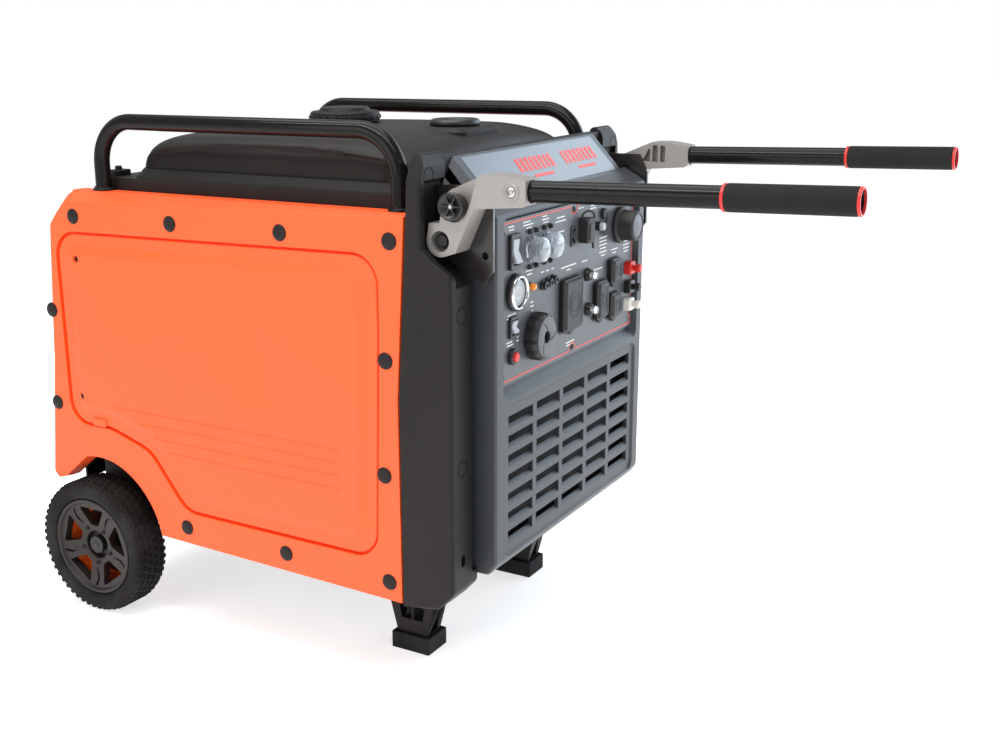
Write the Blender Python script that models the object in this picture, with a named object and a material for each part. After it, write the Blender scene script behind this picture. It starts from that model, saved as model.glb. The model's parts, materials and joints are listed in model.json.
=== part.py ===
"""Portable inverter generator: wheeled, with two folding pull handles, built as separate pieces.

Frame: +X towards the control panel and the handle grips, +Z up, Z = 0 on the ground, X = Y = 0 at the
middle of the footprint box with the handles raised. Every number below is in millimetres and is turned
into metres when a mesh is made.
"""

from math import atan2, cos, pi, radians, sin

import bmesh
import bpy
from mathutils import Matrix, Vector

MM = 0.001

# ---- driving dimensions --------------------------------------------------------------------------
GAP = 0.4  # between pieces that touch
WALL = 3.5  # moulded shells

# wheels
WHEEL_R, WHEEL_W, RIM_R = 101.6, 56.0, 75.0
WHEEL_OUT = 302.0  # outer face of the tyre
AXLE_X, AXLE_R, NUT_R = -483.5, 8.0, 13.0
TRAY_LOW, TRAY_HIGH, TRAY_T = 134.0, 172.0, 4.0
AXLE = (AXLE_X, 0.0, WHEEL_R)

# body
HALF_W = 285.5  # side face of the covers
COVER_IN = 262.0  # inner edge of the side covers
SHELF_IN = 238.0  # inner edge of the shelf that carries a rail
REAR_X, REAR_TOP_X = -567.5, -541.5
BOTTOM_Z, SHOULDER_Z, TOP_Z = 131.0, 611.4, 627.3
FRONT_X = 60.5  # where the side covers meet the front surround
ARCH = (-475.0, 118.0, 118.0)  # centre x, centre z, radius of the wheel arch

# front
FLANGE_X, FLANGE_TOP_X = 135.5, 93.5
FASCIA_X, FASCIA_HALF, FASCIA_BACK = 162.8, 226.0, 88.0
FASCIA_LOW, FASCIA_HIGH = 168.0, 617.0
PANEL_X, PANEL_HALF, PANEL_LOW, PANEL_HIGH, PANEL_T = 155.5, 203.0, 410.0, 621.0, 3.5

# handles
PIVOT = (110.5, 597.5)  # x, z of the fold axis
INDEX_R, INDEX_DEG = 46.4, 66.5  # the locking pin, from the pivot
HANDLE_Y, TUBE_R, TUBE_BORE, GRIP_R = 251.0, 12.5, 10.5, 15.0
TUBE_START, GRIP_START, GRIP_END = (206.0, 659.4), 443.5, 584.7
TUBE_RISE = 0.024  # slope of the raised handle
ARM_OUT, ARM_IN, ARM_END = 268.0, 236.0, 222.5  # the cast arm's faces in y, and its open end in x
KNOB_R, KNOB_OUT = 16.8, 9.0  # the locking knob, and how far it stands out of the arm

# carry rails
RAIL_Y, RAIL_Z, RAIL_R, RAIL_BEND = 248.7, 722.5, 11.0, 58.0
RAIL_REAR, RAIL_FRONT, RAIL_FOOT = -451.5, 43.5, 627.7

# fuel cap and gauge
CAP_AT, CAP_R = (-212.0, 0.0), 52.0
GAUGE_AT, GAUGE_R = (-34.0, 12.0), 35.0
HUMP_TOP = 712.0

# engine
CRANK_Z = 290.0
SHAFT_R = 14.0

SIDES = (("left", -1), ("right", 1))

FINISHES = {  # colour, roughness, metallic
    "orange_cover": ((0.94, 0.17, 0.045), 0.45, 0.0),
    "black_moulding": ((0.028, 0.026, 0.026), 0.5, 0.0),
    "grey_front": ((0.07, 0.08, 0.09), 0.45, 0.0),
    "panel": ((0.09, 0.1, 0.115), 0.4, 0.0),
    "black_steel": ((0.012, 0.012, 0.012), 0.25, 0.6),
    "cast_alloy": ((0.62, 0.57, 0.52), 0.45, 0.5),
    "foam_grip": ((0.02, 0.02, 0.02), 0.85, 0.0),
    "rubber": ((0.03, 0.03, 0.032), 0.8, 0.0),
    "rim_plastic": ((0.045, 0.038, 0.034), 0.45, 0.0),
    "switch_black": ((0.02, 0.02, 0.022), 0.35, 0.0),
    "switch_red": ((0.8, 0.04, 0.03), 0.35, 0.0),
    "switch_grey": ((0.5, 0.52, 0.54), 0.4, 0.0),
    "zinc_steel": ((0.55, 0.55, 0.56), 0.35, 0.9),
    "engine_alloy": ((0.5, 0.5, 0.5), 0.5, 0.8),
    "tank_plastic": ((0.03, 0.03, 0.03), 0.6, 0.0),
    "copper": ((0.6, 0.3, 0.15), 0.4, 0.9),
    "muffler_steel": ((0.3, 0.28, 0.26), 0.55, 0.8),
}


# ---- building blocks -----------------------------------------------------------------------------
def finish(name):
    """The named finish, as a Principled material."""
    if name in bpy.data.materials:
        return bpy.data.materials[name]
    colour, roughness, metallic = FINISHES[name]
    material = bpy.data.materials.new(name)
    material.use_nodes = True
    shader = material.node_tree.nodes["Principled BSDF"]
    shader.inputs["Base Color"].default_value = (*colour, 1.0)
    shader.inputs["Roughness"].default_value = roughness
    shader.inputs["Metallic"].default_value = metallic
    return material


def prism(points, low, high, along="y"):
    """A closed bmesh: a flat outline drawn in the other two axes, pushed from low to high along one."""
    place = {"x": lambda a, b, c: (c, a, b), "y": lambda a, b, c: (a, c, b), "z": lambda a, b, c: (a, b, c)}
    mesh = bmesh.new()
    base = mesh.faces.new([mesh.verts.new(place[along](a, b, low)) for a, b in points])
    top = bmesh.ops.extrude_face_region(mesh, geom=[base])["geom"]
    step = Vector(place[along](0, 0, high - low))
    bmesh.ops.translate(mesh, vec=step, verts=[v for v in top if isinstance(v, bmesh.types.BMVert)])
    bmesh.ops.recalc_face_normals(mesh, faces=mesh.faces)
    return mesh


def box(low, high):
    """A closed box between two corners."""
    corners = [(low[0], low[1]), (high[0], low[1]), (high[0], high[1]), (low[0], high[1])]
    return prism(corners, low[2], high[2], "z")


def turned(profile, centre, axis="z", segments=32):
    """A solid of revolution from (radius, height) pairs; a radius of 0 closes the end on the axis."""
    mesh = bmesh.new()
    verts = [mesh.verts.new((r, 0, h)) for r, h in profile]
    loop = list(zip(verts, verts[1:]))
    if profile[0][0] > 0 and profile[-1][0] > 0:
        loop.append((verts[-1], verts[0]))
    edges = [mesh.edges.new(pair) for pair in loop]
    bmesh.ops.spin(mesh, geom=verts + edges, cent=(0, 0, 0), axis=(0, 0, 1), angle=2 * pi, steps=segments)
    bmesh.ops.remove_doubles(mesh, verts=mesh.verts, dist=0.01)
    turn = {"z": Matrix(), "y": Matrix.Rotation(-pi / 2, 4, "X"), "x": Matrix.Rotation(pi / 2, 4, "Y")}[axis]
    bmesh.ops.transform(mesh, matrix=Matrix.Translation(centre) @ turn, verts=mesh.verts)
    bmesh.ops.recalc_face_normals(mesh, faces=mesh.faces)
    return mesh


def rod(centre, radius, low, high, axis, segments=24, bore=0.0):
    """A round bar, or a sleeve if it has a bore, from low to high along an axis through centre."""
    at = list(centre)
    at["xyz".index(axis)] = 0.0
    if bore:
        profile = [(bore, low), (radius, low), (radius, high), (bore, high)]
    else:
        profile = [(0, low), (radius, low), (radius, high), (0, high)]
    return turned(profile, at, axis, segments)


def arc(centre, radius, start, end, steps):
    """Points on a circle from one angle to another, in degrees, ends included."""
    turns = [radians(start + (end - start) * i / steps) for i in range(steps + 1)]
    return [(centre[0] + radius * cos(t), centre[1] + radius * sin(t)) for t in turns]


def rounded(low, high, radius, steps=3):
    """A rectangle with round corners, counter-clockwise."""
    corners = [(high[0], high[1], 0), (low[0], high[1], 90), (low[0], low[1], 180), (high[0], low[1], 270)]
    points = []
    for x, y, start in corners:
        inward = (x - radius if start in (0, 270) else x + radius, y - radius if start < 180 else y + radius)
        points += arc(inward, radius, start, start + 90, steps)
    return points


def soften(points, radii, steps=3):
    """An outline whose corners are rounded; radii holds one radius per corner, 0 for a sharp one."""
    out = []
    for i, (point, radius) in enumerate(zip(points, radii)):
        here, before, after = Vector(point), Vector(points[i - 1]), Vector(points[(i + 1) % len(points)])
        if not radius:
            out.append(point)
            continue
        back, on = (before - here).normalized(), (after - here).normalized()
        for k in range(steps + 1):
            t = k / steps
            out.append(tuple(here + back * radius * (1 - t) ** 2 + on * radius * t**2))
    return out


def swept(path, radius, sides=12, bore=0.0):
    """A tube along a path of 3-D points, with flat ends, hollow if it has a bore."""
    mesh = bmesh.new()
    path = [Vector(p) for p in path]

    def rings(r):
        made = []
        for i, point in enumerate(path):
            ahead = (path[min(i + 1, len(path) - 1)] - path[max(i - 1, 0)]).normalized()
            across = Vector((0, 1, 0))
            up = ahead.cross(across).normalized()
            spokes = [2 * pi * k / sides for k in range(sides)]
            made.append([mesh.verts.new(point + r * (cos(a) * across + sin(a) * up)) for a in spokes])
        for a, b in zip(made, made[1:]):
            for k in range(sides):
                mesh.faces.new((a[k], a[(k + 1) % sides], b[(k + 1) % sides], b[k]))
        return made

    outer = rings(radius)
    if bore:
        inner = rings(bore)
        for end in (0, -1):
            for k in range(sides):
                n = (k + 1) % sides
                mesh.faces.new((outer[end][k], outer[end][n], inner[end][n], inner[end][k]))
    else:
        mesh.faces.new(outer[0])
        mesh.faces.new(outer[-1])
    bmesh.ops.recalc_face_normals(mesh, faces=mesh.faces)
    return mesh


def to_object(name, shape, hidden=False):
    """A bmesh in millimetres becomes an object in metres."""
    bmesh.ops.scale(shape, vec=(MM, MM, MM), verts=shape.verts)
    mesh = bpy.data.meshes.new(name)
    shape.to_mesh(mesh)
    shape.free()
    obj = bpy.data.objects.new(name, mesh)
    bpy.context.scene.collection.objects.link(obj)
    if hidden:
        obj.hide_render = True
        obj.display_type = "WIRE"
    return obj


def node(name, shape, material, pivot=(0, 0, 0), cut=(), join=()):
    """A sub-part: its shape, its finish, its origin on its axis, and what is cut from it or joined to it."""
    obj = to_object(name, shape)
    obj.data.materials.append(finish(material))
    for operation, others in (("UNION", join), ("DIFFERENCE", cut)):
        for i, other in enumerate(others):
            tool = to_object(f"{name}_{operation.lower()}_{i}", other, hidden=True)
            step = obj.modifiers.new(f"{operation}_{i}", "BOOLEAN")
            step.operation = operation
            step.object = tool
            step.solver = "EXACT"
            tool.parent = obj
    if any(pivot):
        offset = Vector(pivot) * MM
        obj.data.transform(Matrix.Translation(-offset))
        obj.location = offset
        for child in obj.children:
            child.matrix_parent_inverse = Matrix.Translation(-offset)
    obj.parent = bpy.data.objects["generator"]
    obj.data.shade_smooth()
    obj.data.set_sharp_from_angle(angle=radians(35))
    return obj


def across(side, near, far):
    """The low and high y of a slab between two distances from the middle plane."""
    return (near, far) if side > 0 else (-far, -near)


# ---- chassis, wheels and feet --------------------------------------------------------------------
def tray_outline(rear, step, front, narrow, wide):
    """The tray seen from above: narrow between the wheels, wide in front of them."""
    half = [(front, wide), (step, wide), (step, narrow), (rear, narrow)]
    return [(x, -y) for x, y in reversed(half)] + half


def make_tray():
    """Pressed tray: wide in front, narrow between the wheels, open on top, with the axle lugs under it."""
    outer = tray_outline(-555, -345, 56, 236, 261)
    inner = tray_outline(-555 + TRAY_T, -345 + TRAY_T, 56 - TRAY_T, 236 - TRAY_T, 261 - TRAY_T)
    lugs = []
    for _, side in SIDES:
        low, high = across(side, 190, 200)
        shape = [(AXLE_X - 38, 140), (AXLE_X - 16, 82), (AXLE_X + 16, 82), (AXLE_X + 38, 140)]
        lugs.append(prism(shape, low, high))
    bore = rod(AXLE, AXLE_R + GAP, -210, 210, "y")
    hollow = prism(inner, TRAY_LOW + TRAY_T, TRAY_HIGH + 8, "z")
    node("base_tray", prism(outer, TRAY_LOW, TRAY_HIGH, "z"), "black_steel", join=lugs, cut=[hollow, bore])


def make_axle():
    """One steel axle across the body, with a nut face outside each wheel."""
    end, nut = WHEEL_OUT - 12.0, WHEEL_OUT - 26.0
    half = [(AXLE_R, nut), (NUT_R, nut), (NUT_R, end), (0, end)]
    profile = [(r, -h) for r, h in reversed(half)] + half
    node("axle", turned(profile, AXLE, "y", 24), "zinc_steel", pivot=AXLE)


def make_wheel(name, side):
    """A solid tyre on a five-spoke rim; both turn on the axle."""
    out, w = WHEEL_OUT, WHEEL_W
    # heights run outwards from the middle of the body
    tyre = [
        (RIM_R, out - w + 6), (RIM_R + 12, out - w), (WHEEL_R - 8, out - w), (WHEEL_R, out - w + 9),
        (WHEEL_R, out - 9), (WHEEL_R - 8, out), (RIM_R + 12, out), (RIM_R, out - 3),
    ]
    node(f"tyre_{name}", turned([(r, h * side) for r, h in tyre], AXLE, "y", 36), "rubber", pivot=AXLE)
    rim_r = RIM_R - GAP
    bore = AXLE_R + GAP
    rim = [
        (bore, out - w + 10), (22, out - w + 10), (22, out - 34), (rim_r - 7, out - 24),
        (rim_r - 7, out - w + 8), (rim_r, out - w + 8), (rim_r, out - 4), (rim_r - 6, out - 4),
        (rim_r - 10, out - 10), (26, out - 16), (20, out - 27), (bore, out - 27),
    ]
    low, high = across(side, out - 60, out + 5)
    windows = []
    for k in range(5):
        turn = 90 + 72 * k
        hub = arc((AXLE_X, WHEEL_R), 31, turn + 14, turn - 14, 2)
        edge = arc((AXLE_X, WHEEL_R), rim_r - 11, turn - 22, turn + 22, 3)
        windows.append(prism(hub + edge, low, high))
    shape = turned([(r, h * side) for r, h in rim], AXLE, "y", 24)
    node(f"rim_{name}", shape, "rim_plastic", pivot=AXLE, cut=windows)


def make_leg(name, side):
    """A tapered front leg with windows, in a square rubber boot."""
    x0, x1, boot_top = -32.5, 28.5, 25.0
    y0, y1 = across(side, 127, 175)
    mid = (y0 + y1) / 2
    boot = box((x0, y0, 0), (x1, y1, boot_top))
    socket = box((x0 + 5, y0 + 5, 7), (x1 - 5, y1 - 5, boot_top + 5))
    node(f"foot_boot_{name}", boot, "rubber", cut=[socket])
    leg = [(x0 + 6, 8), (x1 - 6, 8), (x1 - 6, 28), (x1 + 22, 133.5), (x0 - 22, 133.5), (x0 + 6, 28)]
    windows = []
    for a, b in ((-1, -0.12), (0.12, 1)):
        middle = (x0 + x1) / 2
        foot = [(middle + a * 17, 46), (middle + b * 17, 46)]
        opening = foot + [(middle + b * 30, 118), (middle + a * 30, 118)]
        windows.append(prism(opening, y0 - 5, y1 + 5))
    notch = prism([(mid - 11, 27), (mid + 11, 27), (mid, 62)], x0 - 40, x1 + 40, "x")
    node(f"front_leg_{name}", prism(leg, y0 + 6, y1 - 6), "black_moulding", cut=windows + [notch])


# ---- covers --------------------------------------------------------------------------------------
def cover_outline(wall=0.0):
    """The side cover's outline in x and z, with the wheel arch, moved inwards by a wall thickness."""
    x, z, r = ARCH
    front = [(FRONT_X, BOTTOM_Z + wall), (FRONT_X - 1, 400), (FRONT_X + 12, TOP_Z - wall)]
    rear = [(-500, TOP_Z - wall), (REAR_TOP_X, 585), (-557, 400), (REAR_X, 203 + wall), (-558, 191 + wall)]
    arch = arc((x, z), r + wall, 98, 8, 8)
    outline = [(a - wall, b) for a, b in front] + [(a + wall, b) for a, b in rear]
    return outline + [(-536.5, 198 + wall)] + arch


DOOR = [
    (-502.5, 557), (-476.5, 573), (3.5, 577), (30.5, 550), (21.5, 214), (2.5, 187), (-288.5, 189),
    (-311.5, 200), (-359.5, 264), (-397.5, 282), (-456.5, 292), (-490.5, 289), (-514.5, 309), (-516.5, 336),
]


def inset(points, by):
    """A closed outline moved inwards by a distance, keeping its corners."""
    out = []
    for i, point in enumerate(points):
        here, before, after = Vector(point), Vector(points[i - 1]), Vector(points[(i + 1) % len(points)])
        a, b = (here - before).normalized(), (after - here).normalized()
        na, nb = Vector((a.y, -a.x)), Vector((b.y, -b.x))
        out.append(tuple(here + (na + nb) * by / (1 + na.dot(nb))))
    return out


def make_cover(name, side):
    """Moulded side shell with a sloped shoulder, a wheel arch and a ledge round the access door."""
    shell = prism(cover_outline(), *across(side, COVER_IN, HALF_W))
    hollow = prism(cover_outline(4.0), *across(side, COVER_IN - 5, HALF_W - WALL - 8))
    shoulder = [(HALF_W + 6, SHOULDER_Z - 6), (HALF_W + 6, TOP_Z + 6), (HALF_W - 22, TOP_Z + 6)]
    slope = prism([(y * side, z) for y, z in shoulder], -640, 120, "x")
    seat = prism(inset(DOOR, -1.5), *across(side, HALF_W - 6, HALF_W + 5))
    opening = prism(inset(DOOR, 12), *across(side, COVER_IN - 10, HALF_W + 5))
    low, high = across(side, SHELF_IN, COVER_IN + 2)
    shelf = box((-500, low, TOP_Z - 5), (FRONT_X - 1, high, TOP_Z))
    cuts = [hollow, slope, seat, opening]
    node(f"side_cover_{name}", shell, "orange_cover", join=[shelf], cut=cuts)
    door = prism(DOOR, *across(side, HALF_W - 6 + GAP, HALF_W + 1))
    raised = prism(inset(DOOR, 20), *across(side, HALF_W - 4, HALF_W + 4))
    node(f"access_door_{name}", door, "orange_cover", join=[raised])


def make_rear():
    """Rear cover between the side covers, with louvres and the exhaust opening."""
    profile = [(-556, 206), (-550.5, 400), (-538, 584), (-502, 611)]
    profile += [(-499, 607), (-534, 581), (-546.5, 400), (-551.5, 206)]
    cuts = []
    for z in (330, 352, 374, 396):
        for y in (-190, 40):
            cuts.append(prism([(-570, z), (-520, z - 6), (-520, z + 4), (-570, z + 10)], y, y + 150))
    cuts.append(rod((0, -120, 480), 34, -580, -500, "x"))
    low = box((-556, -234, 178), (-551.5, 234, 212))
    panel = prism(profile, -COVER_IN + GAP, COVER_IN - GAP)
    node("rear_cover", panel, "black_moulding", join=[low], cut=cuts)


def make_top():
    """Tank cover: a flat skirt between the side covers with a crowned hump, open underneath."""
    foot, front = TOP_Z - 14, FRONT_X - 1
    half = SHELF_IN - 1
    skirt = prism([(-500, foot), (front, foot), (front, 646), (-468, 646)], -half, half)
    hump = [(-412, 640), (-404, 662), (-380, 692), (-352, 706), (-120, HUMP_TOP), (20, 704), (38, 690)]
    hump.append((48, 640))
    humped = prism(hump, -226, 226)
    sides = [e for e in humped.edges if e.verts[0].co.y == e.verts[1].co.y]
    edges = [e for e in sides if all(v.co.z > 685 for v in e.verts)]
    bmesh.ops.bevel(humped, geom=edges, offset=20, segments=3, profile=0.5, affect="EDGES")
    inner = [(-404, 560), (-396, 660), (-374, 687), (-348, 700), (-120, HUMP_TOP - 6), (16, 698), (32, 688)]
    inner.append((40, 560))
    under = [prism(inner, -204, 204), box((-460, -226, 600), (55, 226, 643))]
    for _, side in SIDES:
        for x in (RAIL_REAR, RAIL_FRONT):
            under.append(rod((x, side * RAIL_Y, 0), RAIL_R + 5.8, TOP_Z, 760, "z", 20))
    filler = rod((*CAP_AT, 0), 26, 600, 760, "z")
    sender = rod((*GAUGE_AT, 0), 24, 600, 760, "z")
    node("top_cover", skirt, "black_moulding", join=[humped], cut=under + [filler, sender])


def make_surround():
    """Black moulding round the front: cheeks, a top band with a shelf, and the arms' pockets."""
    profile = [
        (FRONT_X + GAP, BOTTOM_Z - 2), (112.5, 135), (FLANGE_X, 160), (FLANGE_X, 558), (111.5, 574),
        (FLANGE_TOP_X, 590), (FLANGE_TOP_X, 684), (86, 697), (74, 699), (FRONT_X + 13 + GAP, TOP_Z),
        (FRONT_X - 1 + GAP, 400),
    ]
    shape = prism(profile, -HALF_W, HALF_W)
    middle = FASCIA_HALF + GAP
    cuts = [
        box((0, -middle, 158), (200, middle, 672)),
        box((FASCIA_BACK - 1, -middle, 120), (200, middle, 760)),
        box((0, -middle + 8, 100), (70, middle - 8, 640)),
    ]
    for _, side in SIDES:
        cuts.append(prism([(88, 666), (88, 578), (93, 573), (140, 541), (140, 666)], *across(side, 220, 274)))
        cheek = [(50, 140), (110, 144), (131, 166), (131, 536), (84, 566), (50, 566)]
        cuts.append(prism(cheek, *across(side, 244, 281)))
        slope = [(HALF_W + 5, 655), (HALF_W + 5, 720), (HALF_W - 28, 720), (HALF_W - 15, 692)]
        cuts.append(prism([(y * side, z) for y, z in slope], 0, 200, "x"))
    shelf = box((43, -222, 672.5), (75, 222, 686))
    node("front_surround", shape, "black_moulding", join=[shelf], cut=cuts)


def make_fascia():
    """Front block: sloping console, panel recess and a grille of 35 slots, open at the back."""
    high, back = FASCIA_HIGH, FASCIA_BACK
    profile = [(back, FASCIA_LOW), (FASCIA_X - 12, FASCIA_LOW), (FASCIA_X, FASCIA_LOW + 16)]
    profile += [(FASCIA_X, high + 6), (FASCIA_X - 10, high + 12), (136, 637), (90, 690), (back, 690)]
    shell = prism(profile, -FASCIA_HALF, FASCIA_HALF)
    inner = [(back - 5, 174), (FASCIA_X - 17, 174), (FASCIA_X - 13, 186), (FASCIA_X - 13, 616)]
    inner += [(130, 631), (84, 683)]
    cuts = [prism(inner, -FASCIA_HALF + 6, FASCIA_HALF - 6)]
    recess = rounded((-PANEL_HALF - 6, PANEL_LOW - 6), (PANEL_HALF + 6, PANEL_HIGH), 10)
    cuts.append(prism(recess, PANEL_X - PANEL_T - GAP, FASCIA_X + 5, "x"))
    cuts.append(box((FASCIA_X - 20, -192, 422), (FASCIA_X + 5, 192, 604)))
    for row in range(7):
        top = 370 - 25.5 * row
        for column in range(5):
            end = -122 + 77.8 * column
            cuts.append(box((FASCIA_X - 20, end - 67, top - 12), (FASCIA_X + 5, end, top)))
    node("front_fascia", shell, "grey_front", cut=cuts)


# ---- control panel -------------------------------------------------------------------------------
# round controls: name, y, z, radius, height, finish
ROUND_CONTROLS = (
    ("start_button", -167, 524, 17.0, 6.0, "switch_grey"),
    ("reset_button", -174, 444, 6.5, 9.0, "switch_red"),
    ("breaker_button_upper", 43, 512, 6.0, 16.0, "switch_grey"),
    ("breaker_button_lower", 47, 463, 6.0, 16.0, "switch_grey"),
)
# rockers: name, y, z, width, height, finish
ROCKERS = (
    ("engine_rocker", -170, 575, 15.0, 30.0, "switch_grey"),
    ("run_switch", -172, 481, 13.0, 15.0, "switch_grey"),
    ("economy_switch", -3, 571, 7.0, 14.0, "switch_black"),
    ("breaker_switch_left", -120, 571, 9.0, 17.0, "switch_black"),
    ("breaker_switch_right", -80, 571, 9.0, 17.0, "switch_black"),
)
# hinged lids: name, y, low z, high z, width
LIDS = (
    ("socket_lid_large", -12, 446, 517, 58.0),
    ("socket_lid_middle", 84, 443, 497, 36.0),
    ("socket_lid_upper", 131, 486, 522, 36.0),
    ("socket_lid_lower", 131, 436, 472, 36.0),
)
LID_T, LID_AXIS = 10.0, (2.5, 1.8)  # thickness; hinge axis out from the back and down from the top
DIAL = (-112, 458, 31.0, 19.0)  # y, z, radius, height
TWIST_CAP = (150, 567, 24.0, 30.0)
SHANK_R = 6.0  # of the dial and the twist cap
ROCKER_TILT = 9.0  # degrees, one end pressed in at rest


def control_hole(y, z, width, height):
    """A rectangular hole in the panel."""
    low, high = (PANEL_X - 20, y - width / 2, z - height / 2), (PANEL_X + 20, y + width / 2, z + height / 2)
    return box(low, high)


def make_panel():
    """Panel plate with a hole for each control that passes through it."""
    edge = rounded((-PANEL_HALF, PANEL_LOW), (PANEL_HALF, PANEL_HIGH - 6), 6)
    plate = prism(edge, PANEL_X - PANEL_T, PANEL_X, "x")
    round_holes = [(y, z, r) for _, y, z, r, _, _ in ROUND_CONTROLS]
    round_holes += [(y, z, SHANK_R) for y, z, _, _ in (DIAL, TWIST_CAP)]
    holes = [rod((0, y, z), r + GAP, PANEL_X - 20, PANEL_X + 20, "x", 14) for y, z, r in round_holes]
    holes += [control_hole(y, z, w + 1.6, h + 1.6) for _, y, z, w, h, _ in ROCKERS]
    node("control_panel", plate, "panel", cut=holes)


def make_round_control(name, y, z, radius, height, material):
    """A push button with a rounded edge, standing in its hole."""
    x = PANEL_X
    top = x + height
    profile = [(0, x - 9), (radius, x - 9), (radius, top - 1.5), (radius - 1.5, top), (0, top)]
    node(name, turned(profile, (0, y, z), "x", 14), material, pivot=(x, y, z))


def make_rocker(name, y, z, width, height, material):
    """A rocker paddle: a shallow V on a round belly, tilted with one end in."""
    half = height / 2
    profile = [(-half, 3.2), (0, 1.6), (half, 3.2), (half - 2.2, -3.2), (-half + 2.2, -3.2)]
    tilt = radians(ROCKER_TILT)
    turned_profile = []
    for up, out in profile:
        ahead, above = out * cos(tilt) - up * sin(tilt), out * sin(tilt) + up * cos(tilt)
        turned_profile.append((PANEL_X + ahead, z + above))
    node(name, prism(turned_profile, y - width / 2, y + width / 2), material, pivot=(PANEL_X, y, z))


def make_lid(name, y, low, high, width):
    """A hinged weather lid hanging from its top edge, with a lift lip at the bottom."""
    x = PANEL_X + 1.0
    pivot = (x + LID_AXIS[0], y, high - LID_AXIS[1])
    shape = prism(rounded((y - width / 2, low), (y + width / 2, high), 4, 2), x, x + LID_T - 2, "x")
    middle = rounded((y - width / 2 + 4, low + 4), (y + width / 2 - 4, high - 4), 3, 2)
    crown = prism(middle, x + 1, x + LID_T, "x")
    lip = prism(rounded((y - width / 5, low - 5), (y + width / 5, low + 5), 3, 2), x + 1, x + 4, "x")
    node(name, shape, "switch_black", pivot=pivot, join=[crown, lip])


def make_dial():
    """The engine dial: a fluted skirt with a raised grip bar, on a short shank."""
    y, z, radius, height = DIAL
    points = []
    for k in range(12):
        turn = 2 * pi * k / 12
        for step, r in ((-0.09, radius), (0.09, radius), (0.2, radius - 2), (0.32, radius - 2)):
            points.append((y + r * cos(turn + step), z + r * sin(turn + step)))
    skirt = prism(points, PANEL_X + 0.6, PANEL_X + height, "x")
    shank = rod((0, y, z), SHANK_R, PANEL_X - 12, PANEL_X + 4, "x", 16)
    cuts = []
    for sign in (-1, 1):
        scoop = arc((y + sign * 30, z), 26, 0, 360, 16)[:-1]
        cuts.append(prism(scoop, PANEL_X + 12, PANEL_X + height + 4, "x"))
    node("engine_dial", skirt, "switch_black", pivot=(PANEL_X, y, z), join=[shank], cut=cuts)


def make_twist_cap():
    """The round weather cap of the locking outlet: a wide base ring and a slimmer drum."""
    y, z, radius, height = TWIST_CAP
    x = PANEL_X
    profile = [(0, x - 12), (SHANK_R, x - 12), (SHANK_R, x + 0.6), (radius + 2, x + 0.6)]
    profile += [(radius + 2, x + 6), (radius - 2, x + 9), (radius - 3, x + height - 2)]
    profile += [(radius - 5, x + height), (0, x + height)]
    node("outlet_cap", turned(profile, (0, y, z), "x", 20), "switch_black", pivot=(x, y, z))


# ---- handles and rails ---------------------------------------------------------------------------
def index_point(degrees=INDEX_DEG):
    """Where the locking pin stands, x and z, with the arm turned so that the pin is at this angle."""
    return PIVOT[0] + INDEX_R * cos(radians(degrees)), PIVOT[1] + INDEX_R * sin(radians(degrees))


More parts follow.
